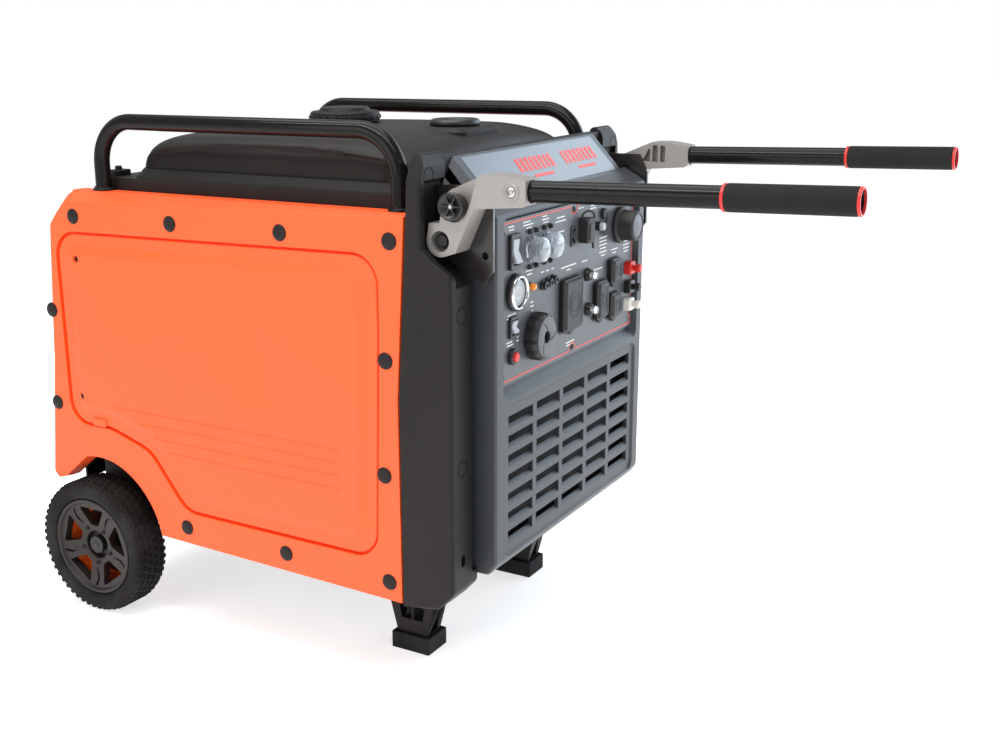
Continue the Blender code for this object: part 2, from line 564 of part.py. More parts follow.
def make_handle(name, side):
    """One folding handle: plate, cast arm, tube, grip, pivot bolt and the sprung locking knob."""
    px, pz = PIVOT
    kx, kz = index_point()
    fx, fz = index_point(INDEX_DEG - 90)
    pivot = (px, side * HANDLE_Y, pz)

    plate = [(89, 580), (108, 566), (152, 546), (163.5, 560), (163.5, 634), (150, 660), (89, 660)]
    low, high = across(side, ARM_IN - 5, ARM_IN - GAP)
    drilled = ((px, pz, 6.4), (kx, kz, 4.5), (fx, fz, 4.5))
    holes = [rod((x, 0, z), r, low - 3, high + 3, "y", 16) for x, z, r in drilled]
    node(f"handle_plate_{name}", prism(plate, low, high), "black_steel", cut=holes)

    leg = [(95.5, 618.5)] + arc((px, pz), 18.5, 165, 292, 8) + [(131, 585), (156, 638)]
    beam = [(ARM_END - 5, 643), (ARM_END, 646), (ARM_END, 673.5), (190, 678), (166.5, 677.5)]
    arm = leg + beam + arc((kx, kz), 20, 118, 212, 5) + [(110, 619)]
    back, out = across(side, ARM_IN, ARM_OUT)
    outer_low, outer_high = across(side, ARM_OUT - 12, ARM_OUT + 5)
    web = arc((kx, kz), 19, 175, 335, 8) + [(151, 643), (165.5, 690), (102, 666)]
    tube_hole = rod((0, side * HANDLE_Y, TUBE_START[1] + 0.2), TUBE_R + 0.8, 190, 240, "x", 20)
    behind, step, before = side * (ARM_IN - 5), side * (ARM_OUT - 13), side * (ARM_OUT + 5)
    eye = [(0, behind), (6.4, behind), (6.4, step), (12.5, step), (12.5, before), (0, before)]
    eye_hole = turned(eye, (px, 0, pz), "y", 20)
    pin_hole = rod((kx, 0, kz), 4.5, *across(side, ARM_IN - 5, ARM_OUT + 5), "y", 16)
    arm_cuts = [tube_hole, eye_hole, pin_hole, prism(web, outer_low, outer_high)]
    node(f"handle_arm_{name}", prism(arm, back, out), "cast_alloy", pivot=pivot, cut=arm_cuts)

    start = (TUBE_START[0], side * HANDLE_Y, TUBE_START[1])
    rise = TUBE_RISE * (GRIP_END - TUBE_START[0])
    knee = (230.0, side * HANDLE_Y, TUBE_START[1] + 0.6)
    end = (GRIP_END - 4, side * HANDLE_Y, TUBE_START[1] + rise)
    node(f"handle_tube_{name}", swept([start, knee, end], TUBE_R, 16, TUBE_BORE), "black_steel", pivot=pivot)

    slope = (end[2] - knee[2]) / (end[0] - knee[0])
    grip = [(x, side * HANDLE_Y, knee[2] + slope * (x - knee[0])) for x in (GRIP_START, GRIP_END)]
    node(f"handle_grip_{name}", swept(grip, GRIP_R, 16, TUBE_R + 0.8), "foam_grip", pivot=pivot)

    head, nut = side * (ARM_OUT - 12.5), side * (ARM_IN - 9)
    bolt = [(0, nut), (6.0, nut), (6.0, head), (8.0, head), (8.0, head + side * 8), (0, head + side * 8)]
    node(f"pivot_bolt_{name}", turned(bolt, (px, 0, pz), "y", 12), "zinc_steel")

    tip, seat, top = side * (ARM_IN + 0.6), side * (ARM_OUT - 11.5), side * (ARM_OUT + KNOB_OUT)
    knob = [(0, tip), (4.0, tip), (4.0, seat), (KNOB_R - 4, seat), (KNOB_R - 1, top - side * 8)]
    knob += [(KNOB_R, top - side * 2), (KNOB_R - 1, top), (KNOB_R - 3, top)]
    knob += [(KNOB_R - 7, top - side * 4), (0, top - side * 4)]
    origin = (kx, side * ARM_OUT, kz)
    node(f"lock_knob_{name}", turned(knob, (kx, 0, kz), "y", 20), "switch_black", pivot=origin)


def make_rail(name, side):
    """A carry rail: one tube with two bends, its feet in a collar on the cover's shoulder."""
    y = side * RAIL_Y
    top, r = RAIL_Z, RAIL_BEND
    rear = arc((RAIL_REAR + r, top - r), r, 180, 90, 5)
    front = arc((RAIL_FRONT - r, top - r), r, 90, 0, 5)
    path = [(RAIL_REAR, RAIL_FOOT + 8)] + rear + front + [(RAIL_FRONT, RAIL_FOOT + 8)]
    collars = [rod((x, y, 0), RAIL_R + 5, RAIL_FOOT, RAIL_FOOT + 9, "z", 14) for x in (RAIL_REAR, RAIL_FRONT)]
    node(f"rail_{name}", swept([(x, y, z) for x, z in path], RAIL_R, 10), "black_steel", join=collars)


# ---- fuel system ---------------------------------------------------------------------------------
def make_fuel():
    """Fuel cap, gauge and the tank under the cover."""
    x, y = CAP_AT
    base = HUMP_TOP + GAP
    profile = [(0, base - 18), (22, base - 18), (22, base), (CAP_R, base), (CAP_R, base + 13)]
    profile += [(CAP_R - 6, base + 16), (CAP_R - 14, base + 16), (CAP_R - 17, base + 21), (0, base + 21)]
    node("fuel_cap", turned(profile, (x, y, 0), "z", 24), "black_moulding", pivot=(x, y, base))
    gx, gy = GAUGE_AT
    top = HUMP_TOP - 1.0
    gauge = [(0, top - 24), (20, top - 24), (20, top), (GAUGE_R, top), (GAUGE_R, top + 6)]
    gauge += [(GAUGE_R - 5, top + 9), (0, top + 9)]
    node("fuel_gauge", turned(gauge, (gx, gy, 0), "z", 24), "black_moulding", pivot=(gx, gy, top))
    tank = box((-370, -198, 560), (24, 198, 676))
    neck = rod((x, y, 0), 24, 670, HUMP_TOP - 19, "z")
    bore = rod((x, y, 0), 20, 640, 740, "z")
    inside = box((-365, -193, 565), (19, 193, 671))
    node("fuel_tank", tank, "tank_plastic", join=[neck], cut=[inside, bore])


# ---- engine and electrics ------------------------------------------------------------------------
def make_engine():
    """Engine, rotating parts, generator windings and what feeds them."""
    case = prism(rounded((-150, 190), (150, 400), 30), -330, -130, "x")
    barrel = prism(rounded((-95, 390), (60, 520), 12), -300, -180, "x")
    feet = [box((-320, y, 138.5), (-150, y + 50, 200)) for y in (-130, 80)]
    bore = rod((0, 0, CRANK_Z), SHAFT_R + 0.6, -345, -100, "x", 16)
    sump = rod((0, 0, CRANK_Z), 62, -300, -160, "x", 20)
    node("engine_block", case, "engine_alloy", join=[barrel] + feet, cut=[bore, sump])
    shaft = [(0, -322), (SHAFT_R, -322), (SHAFT_R, -262), (55, -262), (55, -240), (SHAFT_R, -240)]
    shaft += [(SHAFT_R, -222), (55, -222), (55, -200), (SHAFT_R, -200), (SHAFT_R, -26), (0, -26)]
    node("crankshaft", turned(shaft, (0, 0, CRANK_Z), "x", 16), "zinc_steel", pivot=(-200, 0, CRANK_Z))
    drum = [(SHAFT_R + GAP, -60), (118, -60), (118, -122), (110, -122), (110, -68), (SHAFT_R + GAP, -68)]
    blades = []
    for k in range(8):
        turn = radians(45 * k)
        blade = box((-60.5, 40, -2), (-30, 112, 2))
        bmesh.ops.rotate(blade, cent=(0, 0, 0), matrix=Matrix.Rotation(turn, 3, "X"), verts=blade.verts)
        bmesh.ops.translate(blade, vec=(0, 0, CRANK_Z), verts=blade.verts)
        blades.append(blade)
    shape = turned(drum, (0, 0, CRANK_Z), "x", 24)
    node("rotor_fan", shape, "zinc_steel", pivot=(-60, 0, CRANK_Z), join=blades)
    stator = [(SHAFT_R + 4, -75), (100, -75), (100, -118), (40, -118), (40, -129), (SHAFT_R + 4, -129)]
    node("stator", turned(stator, (0, 0, CRANK_Z), "x", 24), "copper")
    can = prism(rounded((-170, 395), (110, 530), 30, 3), -520, -400, "x")
    chamber = prism(rounded((-167, 398), (107, 527), 27, 3), -517, -403, "x")
    pipes = [rod((0, -120, 480), 27, -566, -510, "x"), rod((0, -30, 460), 18, -403, -300.5, "x")]
    outlet = rod((0, -120, 480), 22, -575, -420, "x")
    node("muffler", can, "muffler_steel", join=pipes, cut=[chamber, outlet])
    node("air_cleaner", prism(rounded((-245, 420), (-115, 545), 16, 2), -340, -190, "x"), "black_moulding")
    node("inverter_module", box((-150, 165, 139), (40, 245, 330)), "engine_alloy")
    node("battery", box((-140, -245, 139), (10, -160, 290)), "black_moulding")


def main():
    for obj in list(bpy.data.objects):
        bpy.data.objects.remove(obj, do_unlink=True)
    root = bpy.data.objects.new("generator", None)
    bpy.context.scene.collection.objects.link(root)
    make_tray()
    make_axle()
    for name, side in SIDES:
        make_wheel(name, side)
        make_leg(name, side)
        make_cover(name, side)
        make_handle(name, side)
        make_rail(name, side)
    make_rear()
    make_top()
    make_surround()
    make_fascia()
    make_panel()
    for row in ROUND_CONTROLS:
        make_round_control(*row)
    for row in ROCKERS:
        make_rocker(*row)
    for row in LIDS:
        make_lid(*row)
    make_dial()
    make_twist_cap()
    make_fuel()
    make_engine()


main()
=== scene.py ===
# %% [markdown]
# # A portable inverter generator, finished on its fixed frame
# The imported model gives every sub-part its true place and the body it moves with. Here each visible
# sub-part gets its moulded radii, ribs, seams and finish. Shapes are drawn in millimetres, because
# that is how such parts are dimensioned, and turned into metres once, when a piece is made.

# %% Frame
import json
from math import cos, pi, radians, sin

import bmesh
import bpy
from mathutils import Matrix, Vector


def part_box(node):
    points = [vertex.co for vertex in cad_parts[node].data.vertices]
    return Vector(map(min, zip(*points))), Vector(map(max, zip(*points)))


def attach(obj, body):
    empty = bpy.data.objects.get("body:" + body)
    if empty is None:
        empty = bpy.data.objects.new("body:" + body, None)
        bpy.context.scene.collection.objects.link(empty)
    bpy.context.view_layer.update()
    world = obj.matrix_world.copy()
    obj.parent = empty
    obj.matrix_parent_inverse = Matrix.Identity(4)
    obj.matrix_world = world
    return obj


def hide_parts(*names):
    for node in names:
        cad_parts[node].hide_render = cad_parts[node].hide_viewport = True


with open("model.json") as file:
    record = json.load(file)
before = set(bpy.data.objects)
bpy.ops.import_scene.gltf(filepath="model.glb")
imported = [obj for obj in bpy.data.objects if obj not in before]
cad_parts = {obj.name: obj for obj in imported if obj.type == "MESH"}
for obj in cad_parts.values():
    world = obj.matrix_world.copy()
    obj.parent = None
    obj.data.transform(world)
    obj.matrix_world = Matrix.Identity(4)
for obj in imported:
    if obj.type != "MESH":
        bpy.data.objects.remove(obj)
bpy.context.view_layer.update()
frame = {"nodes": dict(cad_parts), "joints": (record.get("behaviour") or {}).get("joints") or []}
MM = 0.001
LEFT, RIGHT = -1, 1
SIDES = (("left", LEFT), ("right", RIGHT))


def span(node):
    """Lowest and highest corner of a CAD node, in millimetres."""
    low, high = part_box(node)
    return low / MM, high / MM


def middle(node):
    low, high = span(node)
    return (low + high) / 2


PIVOTS = {j["child"]: Vector(j["pos_m"]) / MM for j in frame["joints"] if "pos_m" in j}

# %% [markdown]
# ## Node trees written as Python
# Materials and Geometry Nodes are both node trees. One class makes any node from its type, its
# settings and its inputs, and one wraps an output so that ordinary arithmetic adds Math nodes. The
# recipes below then read like formulas.


# %% Node helper
class Field:
    """An output socket that Python's operators work on."""

    def __init__(self, tree, socket):
        self.tree, self.socket = tree, socket

    def math(self, operation, *values):
        return self.tree.node("ShaderNodeMath", {"operation": operation}, *values)

    def __add__(self, other):
        return self.math("ADD", self, other)

    def __sub__(self, other):
        return self.math("SUBTRACT", self, other)

    def __rsub__(self, other):
        return self.math("SUBTRACT", other, self)

    def __mul__(self, other):
        return self.math("MULTIPLY", self, other)

    def __truediv__(self, other):
        return self.math("DIVIDE", self, other)

    def __mod__(self, other):
        return self.math("FLOORED_MODULO", self, other)

    __radd__, __rmul__ = __add__, __mul__

    def above(self, level, softness):
        """0 below a level, 1 above it, with a soft step between."""
        settings = {"interpolation_type": "SMOOTHSTEP"}
        return self.tree.node("ShaderNodeMapRange", settings, self, level - softness, level + softness)


class Tree:
    """Adds nodes to a tree; values and links go in by position or by socket name."""

    def __init__(self, group):
        self.group = group

    def node(self, kind, settings=None, *values, out=0, **named):
        made = self.group.nodes.new(kind)
        for key, value in (settings or {}).items():
            if key == "stops":
                self.ramp(made.color_ramp.elements, value)
            else:
                setattr(made, key, value)
        for key, value in [*enumerate(values), *named.items()]:
            socket = made.inputs[key.replace("_", " ") if isinstance(key, str) else key]
            if isinstance(value, Field):
                self.group.links.new(value.socket, socket)
            elif value is not None:
                socket.default_value = value
        return Field(self, made.outputs[out])

    def ramp(self, elements, stops):
        while len(elements) < len(stops):
            elements.new(0.5)
        for element, (place, colour) in zip(elements, stops):
            element.position, element.color = place, (*colour, 1.0)

    def blend(self, factor, first, second):
        """Colour mix; plain colours are triples."""
        pair = [c if isinstance(c, Field) else (*c, 1.0) for c in (first, second)]
        mix = {"data_type": "RGBA"}
        made = self.node("ShaderNodeMix", mix, factor, out=2)
        for place, colour in zip((6, 7), pair):
            socket = made.socket.node.inputs[place]
            if isinstance(colour, Field):
                self.group.links.new(colour.socket, socket)
            else:
                socket.default_value = colour
        return made


# %% [markdown]
# ## Finishes
# A moulded part is never one flat colour: its tool was spark eroded, so it has a fine grain, it
# shines a little unevenly where hands rub it, and dust dulls it. Each finish mixes noises of a few
# sizes on Object coordinates, so the grain has its true size on every part. Only Base Color,
# Roughness and Normal vary; what is the same all over is set on the shader's own sockets.


# %% Finish maker
FINISH = {}


def new_finish(name, slot, build, **fixed):
    """A material whose build function returns (colour, roughness, bump height, bump distance in mm)."""
    material = bpy.data.materials.new(name)
    material.use_nodes = True
    tree = Tree(material.node_tree)
    shader = material.node_tree.nodes["Principled BSDF"]
    place = tree.node("ShaderNodeTexCoord", out=3)
    colour, roughness, height, depth = build(tree, place)
    bump = tree.node("ShaderNodeBump", None, Strength=1.0, Distance=depth * MM, Height=height)
    links = {"Base Color": colour, "Roughness": roughness, "Normal": bump}
    for socket, value in links.items():
        if isinstance(value, Field):
            material.node_tree.links.new(value.socket, shader.inputs[socket])
        else:
            shader.inputs[socket].default_value = value
    for socket, value in fixed.items():
        shader.inputs[socket.replace("_", " ")].default_value = value
    FINISH[name] = (material, slot)
    return material


def noise(tree, place, size_mm, detail=2.0, roughness=0.5):
    """Noise whose features are about this many millimetres across."""
    return tree.node("ShaderNodeTexNoise", None, Vector=place, Scale=1000.0 / size_mm, Detail=detail,
                     Roughness=roughness)


def moulded(colour, rough, grain_mm=1.1, depth=0.035, tint=0.12, dust=0.04):
    """Spark-eroded plastic: grain, slow changes of tone, faint dust."""

    def build(tree, place):
        slow, grain = noise(tree, place, 140, 3.0), noise(tree, place, grain_mm, 3.0, 0.6)
        specks = noise(tree, place, 6, 6.0, 0.7).above(0.68, 0.1)
        deep = tuple(c * (1 - tint) for c in colour)
        bright = tuple(min(1.0, c * (1 + tint)) for c in colour)
        tone = tree.node("ShaderNodeValToRGB", {"stops": ((0.3, deep), (0.7, bright))}, slow)
        dusty = tuple(c * 0.7 + 0.16 for c in colour)
        shade = tree.blend(specks * dust, tone, dusty)
        return shade, rough + (slow - 0.5) * 0.16 + grain * 0.06, grain, depth

    return build


def painted(colour, rough, ripple_mm=5.0, depth=0.03, tint=0.3):
    """Enamel on steel: orange peel a few millimetres across and fine dust in the gloss."""

    def build(tree, place):
        peel, fine = noise(tree, place, ripple_mm, 1.0), noise(tree, place, 0.7, 2.0)
        scuffs = noise(tree, place, 22, 5.0, 0.75).above(0.66, 0.05)
        lighter = tuple(c * (1 + tint) + 0.006 for c in colour)
        return tree.blend(peel, colour, lighter), rough + scuffs * 0.12 + fine * 0.05, peel, depth

    return build


def cast(colour, rough, sand_mm=1.4, depth=0.09):
    """Bead-blasted casting: a sandy surface with darker hollows."""

    def build(tree, place):
        sand, slow = noise(tree, place, sand_mm, 4.0, 0.7), noise(tree, place, 35, 3.0)
        dark = tuple(c * 0.78 for c in colour)
        return tree.blend(sand * 0.5 + slow * 0.5, dark, colour), rough + (sand - 0.5) * 0.2, sand, depth

    return build


def brushed(colour, rough, axis=0, depth=0.02):
    """Plated or machined steel, with marks that run along one axis."""

    def build(tree, place):
        stretch = [1.0, 1.0, 1.0]
        stretch[axis] = 0.04
        along = tree.node("ShaderNodeMapping", None, Vector=place, Scale=stretch)
        marks = noise(tree, along, 0.8, 3.0)
        dark = tuple(c * 0.72 for c in colour)
        return tree.blend(marks, dark, colour), rough + (marks - 0.5) * 0.25, marks, depth

    return build


def foam(colour):
    """Closed-cell foam: small cells with soft walls."""

    def build(tree, place):
        cells = tree.node("ShaderNodeTexVoronoi", {"feature": "SMOOTH_F1"}, Vector=place,
                          Scale=1000.0 / 1.5)
        slow = noise(tree, place, 24, 3.0)
        pale = tuple(c * 2.2 for c in colour)
        return tree.blend(slow * 0.7, colour, pale), 0.9 - cells * 0.12, cells, 0.25

    return build


def rubber(colour, grain_mm=1.2):
    """Moulded rubber: dull, slightly mottled, dusty in patches."""

    def build(tree, place):
        grain, slow = noise(tree, place, grain_mm, 3.0), noise(tree, place, 45, 4.0)
        dusty = tuple(c + 0.011 for c in colour)
        return tree.blend(slow.above(0.55, 0.15), colour, dusty), 0.82 - grain * 0.12, grain, 0.08

    return build


print("finish recipes: moulded, painted, cast, brushed, foam and rubber")

# %% Finishes
WARM_BLACK, ORANGE = (0.0125, 0.0108, 0.01), (1.0, 0.094, 0.011)
new_finish("orange_cover", "orange_cover", moulded(ORANGE, 0.46, tint=0.035, dust=0.02))
new_finish("black_moulding", "black_moulding", moulded(WARM_BLACK, 0.42, 1.2, 0.05, 0.15, 0.03),
           Specular_IOR_Level=0.18)
new_finish("grey_front", "grey_front", moulded((0.032, 0.036, 0.041), 0.4, 1.2, 0.05, 0.12))
new_finish("console_film", "control_panel", moulded((0.1, 0.12, 0.145), 0.3, 0.8, 0.008, 0.06),
           Coat_Weight=0.25, Coat_Roughness=0.2)
new_finish("dial_face", "switch_black", moulded((0.06, 0.062, 0.066), 0.34, 0.8, 0.02, 0.1))
new_finish("gloss_plate", "black_steel", painted((0.012, 0.01, 0.009), 0.22), Coat_Weight=0.3,
           Coat_Roughness=0.1)
new_finish("panel_film", "control_panel", moulded((0.068, 0.073, 0.08), 0.36, 0.8, 0.015, 0.08))
new_finish("gloss_black", "black_steel", painted((0.004, 0.0034, 0.0032), 0.1, 6.0, 0.012),
           Specular_IOR_Level=0.16)
new_finish("satin_black", "black_steel", painted((0.009, 0.0082, 0.0076), 0.38, 2.0),
           Specular_IOR_Level=0.25)
new_finish("cast_alloy", "cast_alloy", cast((0.32, 0.3, 0.285), 0.42), Metallic=0.35)
new_finish("foam", "foam_grip", foam((0.0085, 0.008, 0.0078)), Specular_IOR_Level=0.25)
new_finish("red_plastic", "switch_red", moulded((0.62, 0.02, 0.016), 0.36, 0.8, 0.02, 0.08))
new_finish("tyre", "tyre", rubber((0.007, 0.0062, 0.006)), Specular_IOR_Level=0.18)
new_finish("foot_rubber", "foot_rubber", rubber((0.0065, 0.0068, 0.0075)), Specular_IOR_Level=0.2)
new_finish("rim", "rim_plastic", moulded((0.015, 0.0125, 0.011), 0.42, 1.0, 0.035, 0.12, 0.02),
           Specular_IOR_Level=0.3)
new_finish("rim_orange", "orange_cover", moulded((0.9, 0.13, 0.012), 0.32, 1.0, 0.02, 0.06))
new_finish("switch_black", "switch_black", moulded((0.01, 0.01, 0.0105), 0.36, 0.8, 0.03, 0.2))
new_finish("soft_black", "switch_black", moulded((0.011, 0.0105, 0.0105), 0.5, 0.9, 0.05, 0.2))
new_finish("switch_grey", "switch_grey", moulded((0.36, 0.38, 0.4), 0.35, 0.8, 0.02, 0.08))
new_finish("pale_plastic", "switch_grey", moulded((0.72, 0.7, 0.62), 0.35, 0.8, 0.02, 0.05))
new_finish("chrome", "zinc_steel", brushed((0.8, 0.8, 0.8), 0.16), Metallic=1.0)
new_finish("zinc", "zinc_steel", brushed((0.55, 0.55, 0.56), 0.34, 1), Metallic=0.9)
new_finish("dark_bolt", "zinc_steel", brushed((0.03, 0.028, 0.027), 0.36, 1), Metallic=0.6)
new_finish("engine_alloy", "engine_alloy", cast((0.5, 0.5, 0.5), 0.5), Metallic=0.8)
new_finish("engine_steel", "engine_steel", brushed((0.36, 0.36, 0.37), 0.4), Metallic=0.9)
new_finish("tank", "tank_plastic", moulded((0.03, 0.03, 0.03), 0.55, 2.0, 0.1))
new_finish("copper", "copper", brushed((0.55, 0.24, 0.1), 0.4, 1), Metallic=0.8)
new_finish("muffler", "muffler_steel", cast((0.26, 0.23, 0.2), 0.6), Metallic=0.7)
new_finish("red_print", "control_panel", moulded((0.75, 0.035, 0.02), 0.4, 0.6, 0.01, 0.05))
new_finish("white_print", "control_panel", moulded((0.62, 0.62, 0.6), 0.45, 0.6, 0.01, 0.05))
new_finish("amber", "switch_red", moulded((0.95, 0.28, 0.02), 0.12, 0.8, 0.01, 0.05), Coat_Weight=0.6)
new_finish("clear_boot", "switch_grey", moulded((0.86, 0.89, 0.92), 0.06, 3.0, 0.04, 0.02),
           Transmission_Weight=0.92, IOR=1.42)
# A near-black, darker than any moulding, for painted shade: the sheet behind the grille slots and the
# shelf's screw pockets.
new_finish("painted_shade_black", "black_moulding", moulded((0.006, 0.006, 0.006), 0.7, 1.5, 0.03))
print("finishes", len(FINISH))

# %% [markdown]
# ## Shapes from outlines and rings
# Nearly every moulding here is an outline with a radius run round its edge. An outline is drawn flat,
# moved inwards step by step, and the steps are joined as rings of quads: that gives a true radius of
# any size without a bevel. Turned and swept parts are rings too, so one function closes them all.


# %% Outline helpers
def arc(centre, radius, start, end, steps=8):
    """Points on a circle between two angles in degrees, ends included."""
    turns = [radians(start + (end - start) * i / steps) for i in range(steps + 1)]
    return [(centre[0] + radius * cos(t), centre[1] + radius * sin(t)) for t in turns]


def rounded(points, radii, steps=6):
    """A closed outline whose corners become arcs tangent to both sides."""
    radii = [radii] * len(points) if isinstance(radii, (int, float)) else radii
    out = []
    for i, (point, radius) in enumerate(zip(points, radii)):
        here = Vector(point)
        back = (Vector(points[i - 1]) - here).normalized()
        on = (Vector(points[(i + 1) % len(points)]) - here).normalized()
        angle = back.angle(on)
        if radius < 0.01 or angle > radians(179):
            out.append(tuple(here))
            continue
        reach = radius / abs(sin(angle / 2) / cos(angle / 2))
        centre = here + (back + on).normalized() * (radius / sin(angle / 2))
        first, last = here + back * reach - centre, here + on * reach - centre
        sweep = first.angle_signed(last)
        for k in range(steps + 1):
            out.append(tuple(centre + Matrix.Rotation(-sweep * k / steps, 2) @ first))
    return out


def slab_outline(low, high, radius, steps=6):
    """A rectangle with round corners, between two corners."""
    corners = [(low[0], low[1]), (high[0], low[1]), (high[0], high[1]), (low[0], high[1])]
    return rounded(corners, radius, steps)


def inset(outline, by, share=None):
    """The outline moved inwards; share can hold this movement back at each point, from 0 to 1."""
    area = sum(a[0] * b[1] - b[0] * a[1] for a, b in zip(outline, outline[1:] + outline[:1]))
    way = 1.0 if area > 0 else -1.0
    out = []
    for i, point in enumerate(outline):
        here = Vector(point)
        a = (here - Vector(outline[i - 1])).normalized()
        b = (Vector(outline[(i + 1) % len(outline)]) - here).normalized()
        normal = Vector((-a.y - b.y, a.x + b.x)) * way
        step = by * (share[i] if share else 1.0)
        out.append(tuple(here + normal * step / max(0.35, 1 + a.dot(b))))
    return out


PLACE = {"x": lambda a, b, h: (h, a, b), "y": lambda a, b, h: (a, h, b), "z": lambda a, b, h: (a, b, h)}


def rings(loops, closed=True, joined=False):
    """A bmesh from loops of points, bridged in order, with the ends closed or joined to each other."""
    mesh = bmesh.new()
    made = [[mesh.verts.new(point) for point in loop] for loop in loops]
    pairs = list(zip(made, made[1:])) + ([(made[-1], made[0])] if joined else [])
    for a, b in pairs:
        for k in range(len(a)):
            n = (k + 1) % len(a)
            mesh.faces.new((a[k], a[n], b[n], b[k]))
    if closed and not joined:
        mesh.faces.new(made[0])
        mesh.faces.new(made[-1])
    bmesh.ops.remove_doubles(mesh, verts=mesh.verts, dist=0.0005)
    bmesh.ops.recalc_face_normals(mesh, faces=mesh.faces)
    return mesh


def pad(outline, steps, along, share=None):
    """An outline raised through (inset, height) steps along an axis."""
    return rings([[PLACE[along](a, b, height) for a, b in inset(outline, by, share)]
                  for by, height in steps])


def edge(radius, start, end, turns=5, back=0.0):
    """Steps of a slab from start to end with a radius round its far edge, and one round its near edge."""
    way = 1 if end > start else -1
    steps = []
    if back:
        quarter = [radians(90 * k / turns) for k in range(turns + 1)]
        steps += [(back * (1 - sin(t)), start + way * back * (1 - cos(t))) for t in quarter]
    else:
        steps.append((0.0, start))
    for k in range(turns + 1):
        t = radians(90 * k / turns)
        steps.append((radius * (1 - cos(t)), end - way * radius * (1 - sin(t))))
    return steps + [(radius + min(1.0, radius / 2), end)]


def soft_slab(low, high, radius, steps, along="x"):
    """A rectangle raised through (inset, height) steps; its corner radius shrinks as it is drawn in."""
    loops = []
    for by, height in steps:
        outline = slab_outline((low[0] + by, low[1] + by), (high[0] - by, high[1] - by),
                               max(0.4, radius - by))
        loops.append([PLACE[along](a, b, height) for a, b in outline])
    return rings(loops)


def block(low, high):
    return pad([(low[0], low[1]), (high[0], low[1]), (high[0], high[1]), (low[0], high[1])],
               [(0, low[2]), (0, high[2])], "z")


TURN = {"x": lambda r, h, t: (h, r * cos(t), r * sin(t)), "y": lambda r, h, t: (r * cos(t), h, r * sin(t)),
        "z": lambda r, h, t: (r * cos(t), r * sin(t), h)}


def turned(profile, centre=(0, 0, 0), along="z", sides=48):
    """A turned solid from (radius, height) pairs; it is a ring if no radius is zero."""
    angles = [2 * pi * k / sides for k in range(sides)]
    loops = [[TURN[along](max(r, 0.001), h, t) for t in angles] for r, h in profile]
    hollow = min(r for r, _ in profile) > 0
    mesh = rings(loops, joined=hollow)
    bmesh.ops.remove_doubles(mesh, verts=mesh.verts, dist=0.01)
    bmesh.ops.translate(mesh, vec=Vector(centre), verts=mesh.verts)
    return mesh


def tube(path, radius, sides=24, joined=False):
    """A round bar along 3-D points in a plane that holds the Y axis or nearly so."""
    path = [Vector(p) for p in path]
    loops = []
    for i, point in enumerate(path):
        after = path[(i + 1) % len(path)] if joined else path[min(i + 1, len(path) - 1)]
        before = path[i - 1] if joined else path[max(i - 1, 0)]
        ahead = (after - before).normalized()
        aside = Vector((0, 1, 0)) if abs(ahead.y) < 0.9 else Vector((1, 0, 0))
        up = ahead.cross(aside).normalized()
        aside = up.cross(ahead)
        spokes = [2 * pi * k / sides for k in range(sides)]
        loops.append([point + radius * (cos(t) * aside + sin(t) * up) for t in spokes])
    return rings(loops, joined=joined)


def together(*shapes):
    """Several bmeshes as one."""
    whole = bmesh.new()
    for shape in shapes:
        mesh = bpy.data.meshes.new("part")
        shape.to_mesh(mesh)
        shape.free()
        whole.from_mesh(mesh)
        bpy.data.meshes.remove(mesh)
    return whole


def mirrored(shape, side):
    """The shape as drawn for the right, at +Y; for the left its Y is turned over and its faces put right."""
    if side == LEFT:
        bmesh.ops.scale(shape, vec=(1, -1, 1), verts=shape.verts)
        bmesh.ops.reverse_faces(shape, faces=shape.faces)
    return shape


def both(make):
    """The shape as drawn and its twin on the other side of the middle plane."""
    return together(make(), mirrored(make(), LEFT))

print("planes an outline can stand in:", ", ".join(PLACE))

# %% [markdown]
# ## Cutting, edge radii and finished pieces
# Windows and recesses are cut with Boolean modifiers on scratch objects, and a Bevel modifier rounds
# what is still sharp. A finished piece sits at the origin with its place in its mesh, has weighted
# normals so that flats stay flat next to radii, and rides on the body that moves it.


# %% Piece helpers
def scratch(shape):
    mesh = bpy.data.meshes.new("scratch")
    shape.to_mesh(mesh)
    shape.free()
    obj = bpy.data.objects.new("scratch", mesh)
    bpy.context.scene.collection.objects.link(obj)
    return obj


def worked(shape, join=(), cut=(), bevel=0.0, segments=3, angle=30.0):
    """The shape after its joins, its cuts and a radius on every edge sharper than the angle."""
    base = scratch(shape)
    tools = [base]
    for operation, others in (("UNION", join), ("DIFFERENCE", cut)):
        for other in others:
            step = base.modifiers.new(operation, "BOOLEAN")
            step.operation, step.solver = operation, "EXACT"
            step.object = scratch(other)
            tools.append(step.object)
    if bevel:
        step = base.modifiers.new("radius", "BEVEL")
        step.width, step.segments, step.angle_limit = bevel, segments, radians(angle)
        step.limit_method, step.miter_outer = "ANGLE", "MITER_ARC"
    result = bmesh.new()
    bpy.context.view_layer.update()
    result.from_object(base, bpy.context.evaluated_depsgraph_get())
    for obj in tools:
        bpy.data.meshes.remove(obj.data)
    return result


def cad_copy(node):
    """A copy of a CAD node's mesh in millimetres, its triangles merged and its flats made whole again."""
    mesh = bmesh.new()
    mesh.from_mesh(frame["nodes"][node].data)
    bmesh.ops.scale(mesh, vec=(1 / MM,) * 3, verts=mesh.verts)
    bmesh.ops.remove_doubles(mesh, verts=mesh.verts, dist=0.002)
    bmesh.ops.dissolve_limit(mesh, angle_limit=radians(0.5), verts=mesh.verts, edges=mesh.edges)
    return mesh


